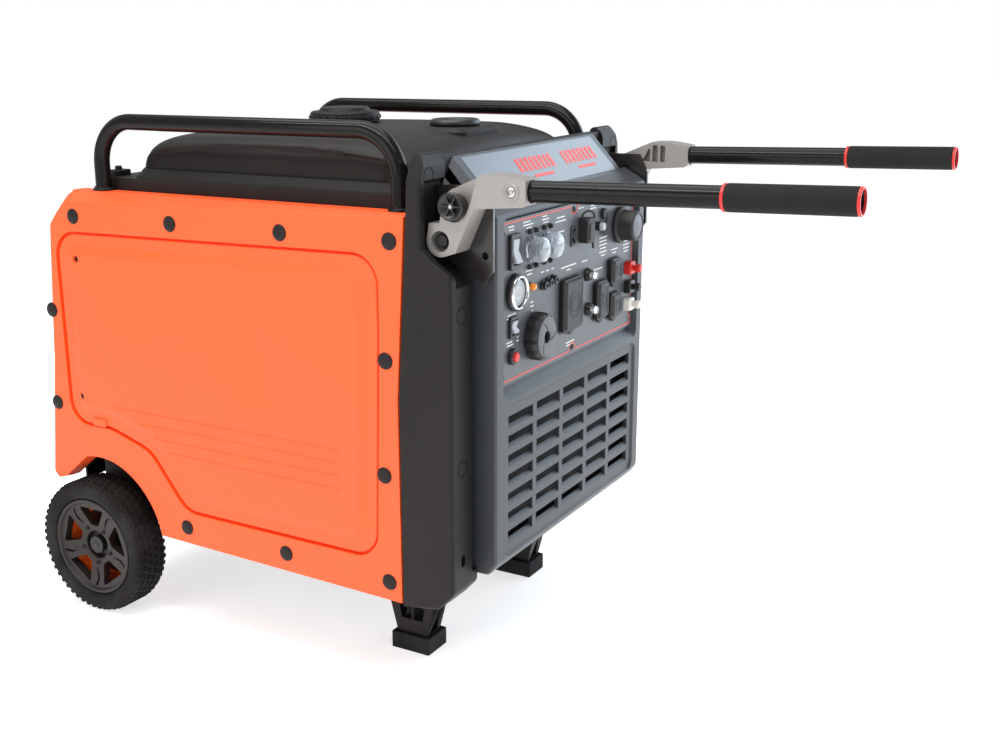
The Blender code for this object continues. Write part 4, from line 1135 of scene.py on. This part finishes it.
def make_panel():
    plate = pad(slab_outline((-203, 410), (203, 615), 6), edge(0.8, 152, PANEL, 3), "x")
    round_holes = ((-167, 524, 17.4), (-174, 444, 6.9), (43, 512, 6.4), (47, 463, 6.4), (-112, 458, 6.4),
                   (150, 567, 6.4))
    cuts = [turned([(0, PANEL - 9), (r, PANEL - 9), (r, PANEL + 9), (0, PANEL + 9)], (0, y, z), "x", 32)
            for y, z, r in round_holes]
    cuts += [hole(*h) for h in ((-170, 575, 16.6, 32), (-172, 481, 14.6, 17), (-3, 571, 8.6, 16),
                                (-120, 571, 10.6, 19),
                                (-80, 571, 10.6, 19))]
    piece("panel_plate", worked(plate, cut=cuts), "panel_film", stands_for=["control_panel"])
    border = [(-200, 414)] + arc((0, 415), 9.5, 185, -5, 14) + [(200, 414)] + arc((200, 433), 8, -90, -270,
                                                                                  10)
    border += [(200, 612)] + arc((0, 611), 9.5, 5, -185, 14) + [(-200, 612)]
    inner = inset(border, 1.5)
    loops = [[(x, a, b) for a, b in line] for line, x in ((border, PANEL - 0.3), (border, PANEL + 0.22),
                                                          (inner, PANEL + 0.22), (inner, PANEL - 0.3))]
    piece("panel_border", rings(loops, joined=True), "red_print")
    head = turned([(0, -1), (4.2, -1), (4.2, 0.4), (3.4, 1.6), (1.5, 1.8), (1.3, 0.6), (0, 0.6)],
                  along="x", sides=24)
    spots = [(PANEL, y, z) for y, z in ((0, 419.5), (0, 606.5), (196, 433), (-197, 600), (-198, 421))]
    piece("panel_screws", on_points(spots, head, "dark_bolt"), "dark_bolt")


LEGENDS = [
    (-176, 606, 15), (-175, 602, 13), (-135, 607, 20), (-131, 603, 27), (-129, 599, 14), (-86, 608, 14),
    (-84, 604, 20),
    (-83, 600, 15), (-40, 601, 24), (-40, 596, 32), (-38, 582, 18), (22, 606, 18), (60, 605, 16),
    (60, 601, 20),
    (96, 606, 20), (98, 602, 22), (96, 556, 26), (96, 551, 24), (96, 546, 26), (96, 541, 20),
    (96, 536, 25), (96, 531, 14),
    (136, 534, 24), (136, 529, 12), (178, 540, 20), (178, 535, 24), (178, 530, 22), (178, 525, 18),
    (-128, 545, 18),
    (-127, 540, 14), (-91, 537, 7), (-77, 537, 9), (-62, 537, 8), (-14, 533, 46), (-14, 528, 12),
    (36, 532, 18),
    (80, 514, 30), (-174, 497, 22), (-174, 493, 26), (-120, 503, 8), (-120, 498, 10), (-118, 492, 4),
    (-180, 463, 15),
    (-178, 459, 17), (-158, 466, 6), (-158, 461, 6), (-6, 428, 26), (-8, 424, 20),
]


def make_legends():
    bars = [pad(slab_outline((y - w / 2, z - 0.9), (y + w / 2, z + 0.9), 0.5, 2),
                [(0, PANEL - 0.3), (0, PANEL + 0.18)], "x")
            for y, z, w in LEGENDS]
    piece("panel_legends", together(*bars), "white_print")


make_panel()
make_legends()
print("legend bars", len(LEGENDS))

# %% [markdown]
# ### Push buttons, lamps and jacks
# What is round is turned. A button rides on the body that moves it, and its bezel stays with the
# panel; there is always air between them.

# %% Round controls
def knob(profile, y, z, sides=48):
    """A turned shape whose heights are counted from the panel."""
    return turned([(r, PANEL + h) for r, h in profile], (0, y, z), "x", sides)


def make_round_controls():
    y, z = -167, 524
    piece("start_bezel", knob([(17.6, -0.4), (23.4, -0.4), (23.4, 5), (22, 6.6), (17.6, 6.6)], y, z, 64),
          "switch_black")
    chrome = [(17.6, 6.0), (21.8, 6.0), (22.2, 8.0), (21.0, 10.0), (19.4, 10.6), (18.2, 9.6), (17.6, 8.0)]
    piece("start_ring", knob(chrome, y, z, 64), "chrome")
    cap = [(0, -8), (16.8, -8), (16.8, 5.2), (15.9, 6.6), (13.4, 7), (12.8, 6.2), (0, 5.8)]
    piece("start_cap", knob(cap, y, z, 64), "switch_grey", "start_button", ["start_button"])
    mark = together(knob([(6.4, 5.6), (7.4, 5.6), (7.4, 6.15), (6.4, 6.15)], y, z, 40),
                    pad(slab_outline((y - 0.5, z - 1), (y + 0.5, z + 9), 0.4, 2),
                        [(0, PANEL + 5.5), (0, PANEL + 6.2)], "x"))
    piece("start_mark", mark, "white_print", "start_button")
    y, z = -174, 444
    piece("reset_bezel", knob([(7.0, -0.4), (10.6, -0.4), (10.6, 4.6), (9.4, 6), (7.0, 6)], y, z),
          "switch_black")
    cap = [(0, -8), (6.4, -8), (6.4, 7.4), (5.6, 8.7), (3.6, 9), (0, 8.6)]
    piece("reset_cap", knob(cap, y, z), "red_plastic", "reset_button", ["reset_button"])
    for name, y, z in (("upper", 43, 512), ("lower", 47, 463)):
        base = [(6.6, -0.4), (9.2, -0.4), (9.2, 2.6), (8.2, 4.6), (7.6, 7.4), (6.6, 7.4)]
        piece(f"breaker_base_{name}", knob(base, y, z), "switch_black")
        tip = [(0, 12.6), (3.4, 12.6), (3.4, -8), (6.0, -8), (6.0, 14.6), (5.0, 15.8), (0, 15.9)]
        body = f"breaker_button_{name}"
        piece(f"breaker_cap_{name}", knob(tip, y, z), "clear_boot", body, [body])
        piece(f"breaker_core_{name}", knob([(0, -7), (3.0, -7), (3.0, 12.2), (0, 12.2)], y, z),
              "pale_plastic", body)
    lamp = knob([(0, -0.4), (6.2, -0.4), (6.2, 1.2), (5.2, 1.8), (0, 1.8)], -124, 524)
    piece("lamp_bezel", lamp, "switch_black")
    piece("lamp_lens", knob([(0, 1), (4.6, 1), (4.6, 5.4), (3.8, 7.4), (2.2, 8.4), (0, 8.7)], -124, 524),
          "amber")
    jack = [(2.2, -0.4), (6.6, -0.4), (6.6, 2.4), (5.6, 3), (5.6, 6.6), (5.0, 7.4), (3.2, 7.4), (2.2, 6.4)]
    jacks = on_points([(0, y, z) for y, z in ((-91, 520), (-77, 521.5), (-62, 523))], knob(jack, 0, 0),
                      "switch_black")
    pins = on_points([(0, y, z) for y, z in ((-91, 520), (-77, 521.5), (-62, 523))],
                     knob([(0, -0.2), (2.0, -0.2), (2.0, 2.4), (0, 2.4)], 0, 0, 24), "switch_black")
    piece("signal_jacks", together(jacks, pins), "switch_black")
    for colour, finish, z in (("red", "red_plastic", 500), ("black", "switch_black", 472),
                              ("white", "pale_plastic", 446)):
        base = pad(slab_outline((174, z - 9.5), (193, z + 9.5), 3.5), edge(2, PANEL - 0.3, PANEL + 10, 4),
                   "x")
        stud = knob([(0, 6), (4.4, 6), (4.4, 14), (6.0, 15), (6.2, 20), (5.2, 22), (3.2, 22.4), (0, 22.2)],
                    184, z, 32)
        piece(f"terminal_{colour}", together(base, stud), finish)


make_round_controls()
print("panel face at", PANEL, "mm")

# %% [markdown]
# ### Rockers, boots and plugs
# Each rocker is a shallow V on a round belly, as tall as its window allows. The two main breakers
# work under clear boots.

# %% Rockers and plugs
def paddle(node, half, width, rise, finish):
    """A rocker drawn upright on its pivot and laid over by its resting tilt."""
    pivot = PIVOTS[node]
    side = [(-half + 1.5, -3), (half - 1.5, -3), (half, rise - 1), (half - 1, rise), (0, rise * 0.55),
            (-half + 1, rise),
            (-half, rise - 1)]
    shape = pad([(out, up) for up, out in side], edge(0.8, -width / 2, width / 2, 3, 0.8), "y")
    bmesh.ops.rotate(shape, cent=(0, 0, 0), matrix=Matrix.Rotation(radians(-9), 3, "Y"), verts=shape.verts)
    bmesh.ops.translate(shape, vec=pivot, verts=shape.verts)
    piece(f"{node}_paddle", shape, finish, node, [node])


def bezel(name, y, z, outer, window, height):
    frame_part = pad(slab_outline((y - outer[0] / 2, z - outer[1] / 2),
                                  (y + outer[0] / 2, z + outer[1] / 2), 3),
                     edge(1.4, PANEL - 0.3, PANEL + height, 3), "x")
    piece(f"{name}_bezel", worked(frame_part, cut=[hole(y, z, *window)], bevel=0.4, segments=2, angle=50),
          "switch_black")


def make_rockers():
    bezel("engine_rocker", -170, 575, (28, 44), (16.6, 33), 5)
    paddle("engine_rocker", 15, 15, 7.5, "switch_grey")
    bezel("run_switch", -172, 481, (22, 27), (14.6, 19), 4)
    paddle("run_switch", 7.8, 13, 6.5, "switch_grey")
    bezel("economy_switch", -3, 571, (14, 27), (8.6, 18), 2.2)
    paddle("economy_switch", 7.2, 7, 5, "switch_black")
    for name, y in (("left", -120), ("right", -80)):
        bezel(f"breaker_{name}", y, 571, (20, 26), (10.6, 20.5), 2)
        paddle(f"breaker_switch_{name}", 8.8, 9, 7, "switch_black")
        shell = [(14.2, 0.2), (17, 0.2), (17, 1.4), (15.2, 2), (15.2, 17), (14.2, 19), (11, 20), (0, 20.3),
                 (0, 19.3), (10.6, 19),
                 (13.4, 18), (14.2, 16.4)]
        clear = turned([(max(r, 0.002), PANEL + h) for r, h in shell], (0, y, 571), "x", 64)
        ribs = [knob([(15.0, h), (15.9, h), (15.9, h + 1), (15.0, h + 1)], y, 571, 64)
                for h in (5, 8, 11, 14)]
        piece(f"breaker_boot_{name}", together(clear, *ribs), "clear_boot")
    head = turned([(0, -0.4), (3.6, -0.4), (3.6, 1.2), (2.6, 3.4), (2.2, 5.2), (0, 5.4)], along="x",
                  sides=20)
    spots = [(PANEL, y + d, z) for y in (-120, -80) for d in (-8.5, 8.5) for z in (549.5, 594)]
    piece("boot_screws", on_points(spots, head, "switch_black"), "switch_black")


def make_plugs():
    body = pad(slab_outline((14, 559), (37, 593), 5), edge(2.6, PANEL - 0.3, PANEL + 15, 4), "x")
    face = pad(slab_outline((18, 563), (33, 586), 3), edge(1, PANEL + 14, PANEL + 16.4, 3), "x")
    strap = tube([(PANEL + 9 + 5 * cos(radians(t)), 26 + 9 * cos(radians(t)), 593 + 9 * sin(radians(t)))
                  for t in range(-10, 200, 15)],
                 1.5, 16)
    tail = tube([(PANEL + 12, 33, 560), (PANEL + 13, 35, 555), (PANEL + 12, 37, 551)], 1.8, 16)
    piece("charge_plug", together(body, face, strap, tail), "soft_black")
    socket = knob([(0, -0.3), (8, -0.3), (8, 2.4), (6.4, 3), (6.4, 10), (0, 10)], 66, 576, 40)
    piece("spare_socket", socket, "switch_black")
    piece("spare_socket_tip",
          knob([(0, 9.8), (5.4, 9.8), (5.4, 14.6), (4.6, 15.4), (0, 15.4)], 66, 576, 40), "switch_grey")
    path = [(PANEL + 3 + 3 * sin(radians(12 * k)), 92 + 5 * sin(radians(24 * k)), 595 - 2.2 * k)
            for k in range(16)]
    piece("dust_cap_strap", tube(path, 1.7, 16), "soft_black")
    piece("dust_cap", knob([(0, -0.3), (7.5, -0.3), (7.5, 4), (6.5, 5.4), (0, 5.6)], 92, 590, 40),
          "soft_black")


make_rockers()
make_plugs()
print("rocker pivots", sum(1 for name in PIVOTS if "switch" in name or "rocker" in name))

# %% [markdown]
# ### Weather lids
# Every outlet has a soft lid on a frame. The lid is domed at its edge and has a rim, a faint round
# relief and a lift tab; its frame stays on the panel.

# %% Lids
def make_lid(node, y, low, high, width):
    base = pad(slab_outline((y - width / 2 - 2.5, low - 2), (y + width / 2 + 2.5, high + 2), 6),
               edge(0.3, PANEL - 0.3, PANEL + 0.7, 2), "x")
    piece(f"{node}_frame", base, "soft_black")
    start, top = PANEL + 1.0, PANEL + 10.6
    steps = [(0.6, start), (0, start + 1), (0, start + 5.4), (1.4, start + 5.8), (1.8, start + 6.2)]
    steps += [(2.2, top - 3), (3.4, top - 1.0), (5.2, top - 0.2), (7, top), (8, top - 0.1), (9, top - 0.6),
              (10.5, top - 0.8)]
    shape = soft_slab((y - width / 2, low), (y + width / 2, high), 6.5, steps)
    z, r = (low + high) / 2, width * 0.29
    relief = [turned([(a - 0.5, top - 1.2), (a + 0.5, top - 1.2), (a + 0.4, top - 0.35),
                      (a - 0.4, top - 0.35)], (0, y, z), "x", 48)
              for a in (r, r * 0.62)]
    tab = pad(rounded([(y - 8, low + 3), (y - 6, low - 6), (y + 6, low - 6), (y + 8, low + 3)],
                      [1, 5, 5, 1], 5),
              edge(0.8, start + 0.4, start + 3.2, 3, 0.6), "x")
    piece(f"{node}_cover", together(shape, tab, *relief), "soft_black", node, [node])


for row in (("socket_lid_large", -12, 446, 517, 58), ("socket_lid_middle", 84, 443, 497, 36),
            ("socket_lid_upper", 131, 486, 522, 36), ("socket_lid_lower", 131, 436, 472, 36)):
    make_lid(*row)
print("weather lids", sum(1 for name in PIVOTS if "lid" in name))

# %% [markdown]
# ### Dial and twist cap
# The dial's skirt is one fluted ring after another; its face is paler, with three swept grooves and
# a deep socket. The twist cap is a drum with a dished face; its grip ribs are made but left out of the
# piece.

# %% Dial and twist cap
def fluted(y, z, radius, flutes, depth, height):
    """One ring of a fluted skirt."""
    loop = []
    for k in range(flutes * 12):
        turn = 2 * pi * k / (flutes * 12)
        r = radius - depth * max(0.0, cos(turn * flutes)) ** 2
        loop.append((PANEL + height, y + r * cos(turn), z + r * sin(turn)))
    return loop


def make_dial():
    y, z = -112, 458
    skirt = [(29.5, 0.6), (31, 1.6), (31, 11), (30.4, 14), (29, 16.4), (26.5, 17.6), (20, 17.8),
             (7.5, 17.8), (7.2, 17.2),
             (6.6, 8)]
    loops = [fluted(y, z, r, 12, 2.4 if r > 28 else 0.0, h) for r, h in skirt]
    shank = knob([(0, -11), (6, -11), (6, 1), (0, 1)], y, z, 32)
    piece("dial_skirt", together(rings(loops), shank), "soft_black", "engine_dial", ["engine_dial"])
    face = knob([(8, 17.4), (25.6, 17.4), (26, 18.2), (25, 19), (9, 19), (8, 18.2)], y, z, 96)
    grooves = []
    for k in range(3):
        line = [(9 + 2.1 * n, radians(90 + 120 * k + 5 * n)) for n in range(9)]
        left = [(y + r * cos(t - 1.1 / r), z + r * sin(t - 1.1 / r)) for r, t in line]
        right = [(y + r * cos(t + 1.1 / r), z + r * sin(t + 1.1 / r)) for r, t in line]
        grooves.append(pad(left + right[::-1], [(0, PANEL + 18), (0, PANEL + 20)], "x"))
    piece("dial_face", worked(face, cut=grooves), "dial_face", "engine_dial")


def make_twist_cap():
    y, z = 150, 567
    drum = [(0, -11), (6, -11), (6, 0.7), (25, 0.7), (26, 1.6), (26, 5.4), (25, 6.6), (22.4, 7.4),
            (21.8, 9), (21.4, 26), (20.6, 28.6),
            (19, 29.8), (17.4, 29.6), (16.8, 28.6), (0, 28.2)]
    rib = pad(slab_outline((-0.9, -1.2), (0.9, 1.2), 0.8, 3), edge(0.6, -8, 8, 2), "z")
    ribs = aim(round_axis(rib, "soft_black", 30, 21.4), (0, 0, 0), "x")
    for vert in ribs.verts:
        vert.co = (vert.co.x + PANEL + 17, vert.co.y + y, vert.co.z + z)
    piece("twist_cap_drum", knob(drum, y, z, 72), "soft_black", "outlet_cap", ["outlet_cap"])
    piece("twist_cap_face", knob([(0, 28), (16.4, 28), (16.4, 28.8), (14, 29.4), (0, 29.9)], y, z, 64),
          "dial_face", "outlet_cap")


make_dial()
make_twist_cap()
print("dial pivot", [round(c, 1) for c in PIVOTS["engine_dial"]])

# %% [markdown]
# ## Handles
# A cast arm folds on a hex bolt and a sprung knob locks it. The arm takes over the outline of its
# solid; what a casting adds is a radius on every edge, pockets with ribs on the hidden side and a
# screw that clamps the tube. Tube and grip are turned bars laid over by the slope of the handle.

# %% Handles
ARM_OUT, ARM_IN, HANDLE_Y = 268.0, 236.0, 251.0
TUBE_X, TUBE_Z, RISE = 206.0, 659.4, 0.0242


def sloped(profile, side, sides=48):
    """A bar turned round the tube's sloping axis; heights count along X."""
    shape = turned(profile, (0, HANDLE_Y, TUBE_Z), "x", sides)
    bmesh.ops.rotate(shape, cent=(TUBE_X, 0, TUBE_Z), matrix=Matrix.Rotation(-RISE, 3, "Y"),
                     verts=shape.verts)
    return mirrored(shape, side)


def make_arm(name, side):
    body, node = f"handle_{name}", f"handle_arm_{name}"
    cells = [[(152, 650), (165, 673), (165, 649)], [(168, 649), (168, 673), (177, 673), (177, 649)],
             [(180, 649), (180, 673), (188, 673), (188, 649)],
             [(137, 607), (125, 607), (144, 640), (151, 638)]]
    pockets = [mirrored(flat(rounded(cell, 1.8, 3), ARM_IN - 4, ARM_IN + 11), side) for cell in cells]
    shape = worked(cad_copy(node), cut=pockets, bevel=1.7, segments=3, angle=32)
    piece(f"cast_arm_{name}", shape, "cast_alloy", body, [node])
    ring = turned([(6.6, ARM_OUT - 0.6), (10.4, ARM_OUT - 0.6), (10.4, ARM_OUT + 0.4),
                   (9.4, ARM_OUT + 1.3), (6.6, ARM_OUT + 1.3)],
                  (204.5, 0, 659.5), "y", 48)
    piece(f"clamp_boss_{name}", mirrored(ring, side), "cast_alloy", body)
    head = [(0, -2), (6.4, -2), (6.4, 0.4), (6.0, 2.2), (4.6, 3.6), (3.0, 4.1), (2.8, 1.6), (0, 1.6)]
    screw = turned([(r, ARM_OUT + h) for r, h in head], (204.5, 0, 659.5), "y", 40)
    piece(f"clamp_screw_{name}", mirrored(screw, side), "zinc", body)


def make_tube(name, side):
    body = f"handle_{name}"
    end = 582.0
    tube_profile = [(0, TUBE_X), (11.6, TUBE_X), (12.5, TUBE_X + 1), (12.5, end - 0.8), (11.9, end),
                    (10.9, end), (10.4, end - 0.8),
                    (10.4, end - 40), (0, end - 40)]
    piece(f"bent_tube_{name}", sloped(tube_profile, side, 64), "gloss_black", body, [f"handle_tube_{name}"])
    foam_part = [(12.8, 447), (14.2, 447), (15, 448.6), (15, 579.4), (14.2, 581), (12.8, 581)]
    piece(f"foam_sleeve_{name}", sloped(foam_part, side, 64), "foam", body, [f"handle_grip_{name}"])
    caps = []
    for start, stop in ((443.6, 447), (581, 584.4)):
        caps.append(sloped([(12.8, start), (14.4, start), (15, start + 0.8), (15, stop - 0.8),
                            (14.4, stop), (12.8, stop)], side, 64))
    piece(f"grip_rings_{name}", together(*caps), "red_plastic", body)


def make_lock(name, side):
    body = f"lock_knob_{name}"
    x, z = middle(body).x, middle(body).z
    low, top = ARM_OUT - 11.3, ARM_OUT + 8.9
    cap = [(0, ARM_IN + 0.8), (3.9, ARM_IN + 0.8), (3.9, low), (12.8, low), (15.6, top - 8),
           (16.7, top - 2.4), (16.5, top - 0.8),
           (15.6, top), (14.4, top), (13.4, top - 1.2), (9, top - 4.6), (4.6, top - 5.4), (4.4, top - 2.6),
           (0, top - 2.6)]
    rib = block((-4.6, -5.6, -0.7), (4.6, -1.4, 0.7))
    ribs = aim(round_axis(rib, "switch_black", 6, 8.9), (x, top, z))
    piece(f"lock_cap_{name}", mirrored(together(turned(cap, (x, 0, z), "y", 64), ribs), side),
          "switch_black", body, [body])
    pin = turned([(0, top - 4), (2.7, top - 4), (2.7, top - 1.4), (2.0, top - 0.6), (0, top - 0.4)],
                 (x, 0, z), "y", 24)
    piece(f"lock_pin_{name}", mirrored(pin, side), "zinc", body)


def make_pivot(name, side):
    x, z = middle(f"pivot_bolt_{name}").x, middle(f"pivot_bolt_{name}").z
    nut, head = ARM_IN - 9, ARM_OUT - 12.4
    shank = turned([(0, nut), (6, nut), (6, head), (0, head)], (x, 0, z), "y", 32)
    washer = turned([(0, head), (10.6, head), (10.6, head + 1.4), (0, head + 1.4)], (x, 0, z), "y", 40)
    corners = [(x + 7.8 * cos(radians(60 * k + 30)), z + 7.8 * sin(radians(60 * k + 30))) for k in range(6)]
    hexagon = pad(corners, edge(0.9, head + 1.2, head + 7.6, 3), "y")
    piece(f"pivot_hex_{name}", mirrored(together(shank, washer, hexagon), side), "dark_bolt", "chassis",
          [f"pivot_bolt_{name}"])


for name, side in SIDES:
    make_arm(name, side)
    make_tube(name, side)
    make_lock(name, side)
    make_pivot(name, side)
    refined(f"handle_plate_{name}", "gloss_plate", 0.7, 2)
print("handle rises", round(TUBE_Z + (582 - TUBE_X) * RISE, 1), "mm at its end")

# %% [markdown]
# ## Legs, boots and tray
# Two moulded legs in rubber boots carry the front, and a pressed tray closes the case below. They
# could be drawn again from nothing, but their solids already have the right outline, so each one is
# taken over and every edge gets the small radius that a mould or a press leaves.

# %% Legs, boots and tray
for name, side in SIDES:
    refined(f"foot_boot_{name}", "foot_rubber", 1.6, 3)
    refined(f"front_leg_{name}", "black_moulding", 1.8, 3)
refined("base_tray", "satin_black", 1.0)
print("leg height", round(span("front_leg_left")[1].z - span("front_leg_left")[0].z, 1), "mm")

# %% [markdown]
# ## Rear cover
# A black cover closes the back between the two orange shells. It is one profile drawn out across the
# width, whose slope breaks above the louvres. The louvres are leaning prisms cut out of it, so that
# rain runs off outwards, and the exhaust gets a round hole.

# %% Rear cover
EXHAUST_Y, EXHAUST_Z = -120.0, 480.0
LOUVRE_FEET, LOUVRE_STARTS, LOUVRE_LENGTH = (330, 352, 374, 396), (-190, 40), 150


def make_rear():
    """The rear cover: eight louvres low down and a round hole for the exhaust."""
    profile = [(-556, 206), (-549.9, 421), (-538, 584), (-502, 611), (-499, 607), (-534, 581), (-546, 421),
               (-551.5, 206)]
    louvre = [(-570, 0), (-520, -6), (-520, 4), (-570, 10)]
    cuts = [flat([(x, z + foot) for x, z in louvre], start, start + LOUVRE_LENGTH)
            for foot in LOUVRE_FEET for start in LOUVRE_STARTS]
    opening = [(0, -580), (34, -580), (34, -500), (0, -500)]
    cuts.append(turned(opening, (0, EXHAUST_Y, EXHAUST_Z), "x", 64))
    panel = flat(profile, 0.4 - COVER_IN, COVER_IN - 0.4)
    low = block((-555.3, -234, 178), (-551.8, 234, 210))
    piece("rear_cover_finished", worked(panel, join=[low], cut=cuts), "black_moulding",
          stands_for=["rear_cover"])



make_rear()
print("louvres", len(LOUVRE_FEET) * len(LOUVRE_STARTS))

# %% [markdown]
# ### Wheel houses and exhaust guard
# Behind each wheel arch a curved black roof and an inner wall keep the tyre's spray out of the case.
# Both follow the arch's own circle, so they are drawn as arcs and raised to slabs. The exhaust ends
# in a turned steel ring with three bars across it and four screws.

# %% Wheel houses and exhaust guard
def make_liner(name, side):
    """The black wheel house behind the arch: a curved roof and an inner wall."""
    roof = arc((ARCH_X, ARCH_Z), 121.5, 6, 112, 28) + arc((ARCH_X, ARCH_Z), 118.6, 112, 6, 28)
    wall = arc((ARCH_X, ARCH_Z), 120, 28, 112, 24) + [(-520, 174), (-370, 174)]
    shape = together(flat(roof, 224, COVER_IN - 0.4), flat(wall, 224, 226.5))
    piece(f"wheel_house_{name}", mirrored(shape, side), "black_moulding")


def make_exhaust():
    """A steel ring and a barred guard round the exhaust outlet in the rear cover."""
    x, y, z = -547.5, EXHAUST_Y, EXHAUST_Z
    ring = [(30, 0), (38, 0), (38, -3), (36.5, -4.6), (31.5, -4.6), (30, -3)]
    bars = [flat(slab_outline((y - 31, z + d - 1.1), (y + 31, z + d + 1.1), 0.9, 2), x - 4.4, x - 2.2, "x")
            for d in (-14, 0, 14)]
    shape = turned([(r, x + h) for r, h in ring], (0, y, z), "x", 64)
    piece("exhaust_guard", together(shape, *bars), "muffler")
    spots = [(x - 3.6, y + 34.2 * cos(radians(45 + 90 * k)), z + 34.2 * sin(radians(45 + 90 * k)))
             for k in range(4)]
    head = turned([(0, 1), (2.6, 1), (2.6, -1.4), (2, -2), (0, -2)], along="x", sides=16)
    piece("guard_screws", on_points(spots, head, "dark_bolt"), "dark_bolt")


for name, side in SIDES:
    make_liner(name, side)
make_exhaust()
print("wheel arch radius", ARCH_R, "mm")

# %% [markdown]
# ## Inside
# The engine, tank and electrics show only through slots and gaps, so their solids stay and take
# finishes.

# %% Inner parts
INSIDE = {"axle": "dark_bolt", "fuel_tank": "tank", "engine_block": "engine_alloy",
          "crankshaft": "engine_steel",
          "rotor_fan": "engine_steel", "stator": "copper", "muffler": "muffler",
          "air_cleaner": "soft_black",
          "inverter_module": "engine_alloy", "battery": "soft_black"}
for node, finish in INSIDE.items():
    painted_node(node, finish)
print("inner parts", len(INSIDE))

# %% [markdown]
# ## Studio
# A pale floor, a wide soft light overhead, a second one towards the front so that the grey front
# block catches cool light, and a weaker fill on the orange side.

# %% Floor, lights and camera
AROUND = 0.42  # brightness of the surroundings; the camera itself sees them white


def soft_light(name, place, size, power, colour, look_at=(0.0, 0.0, 0.35)):
    light = bpy.data.lights.new(name, "AREA")
    light.shape, light.size, light.size_y = "RECTANGLE", size[0], size[1]
    light.energy, light.color = power, colour
    obj = bpy.data.objects.new(name, light)
    obj.location = place
    obj.rotation_mode = "QUATERNION"
    obj.rotation_quaternion = (Vector(look_at) - Vector(place)).to_track_quat("-Z", "Y")
    bpy.context.scene.collection.objects.link(obj)


def make_studio():
    bpy.ops.mesh.primitive_plane_add(size=60.0, location=(0, 0, 0))
    floor = bpy.context.object
    floor.name = "floor"
    material = bpy.data.materials.new("floor")
    material.use_nodes = True
    shader = material.node_tree.nodes["Principled BSDF"]
    shader.inputs["Base Color"].default_value = (0.93, 0.93, 0.93, 1)
    shader.inputs["Roughness"].default_value = 0.9
    shader.inputs["Emission Color"].default_value = (1, 1, 1, 1)
    shader.inputs["Emission Strength"].default_value = 0.62
    floor.data.materials.append(material)
    world = bpy.data.worlds.new("studio")
    world.use_nodes = True
    sky = Tree(world.node_tree)
    seen = sky.node("ShaderNodeLightPath")
    strength = seen * (1.0 - AROUND) + AROUND
    background = world.node_tree.nodes["Background"]
    background.inputs["Color"].default_value = (1, 1, 1, 1)
    world.node_tree.links.new(strength.socket, background.inputs["Strength"])
    bpy.context.scene.world = world
    soft_light("overhead", (-0.3, -0.2, 2.6), (2.6, 2.2), 50, (1.0, 1.0, 1.0))
    soft_light("strip", (0.0, -1.0, 2.1), (2.8, 0.12), 20, (1.0, 1.0, 1.0))
    soft_light("behind", (1.3, 2.7, 1.25), (3.4, 2.3), 72, (0.72, 0.86, 1.0))
    soft_light("front", (2.6, -0.9, 1.1), (1.4, 1.6), 12, (0.85, 0.92, 1.0))
    soft_light("side", (-0.9, -2.9, 1.3), (2.2, 1.6), 26, (1.0, 0.97, 0.93))


def make_camera():
    turn, tilt, roll = radians(31.5), radians(15.0), radians(-0.643)
    forward = Vector((-sin(turn) * cos(tilt), cos(turn) * cos(tilt), -sin(tilt)))
    right = forward.cross(Vector((0, 0, 1))).normalized()
    up = right.cross(forward)
    right, up = right * cos(roll) + up * sin(roll), up * cos(roll) - right * sin(roll)
    camera = bpy.data.cameras.new("camera")
    camera.lens, camera.sensor_width, camera.shift_x = 45.05, 36.0, 0.06
    obj = bpy.data.objects.new("camera", camera)
    axes = Matrix((right, up, -forward)).transposed().to_4x4()
    obj.matrix_world = Matrix.Translation((0.8677, -1.5067, 0.8254)) @ axes
    bpy.context.scene.collection.objects.link(obj)
    bpy.context.scene.camera = obj


make_studio()
make_camera()
bpy.context.scene.view_settings.view_transform = "Standard"
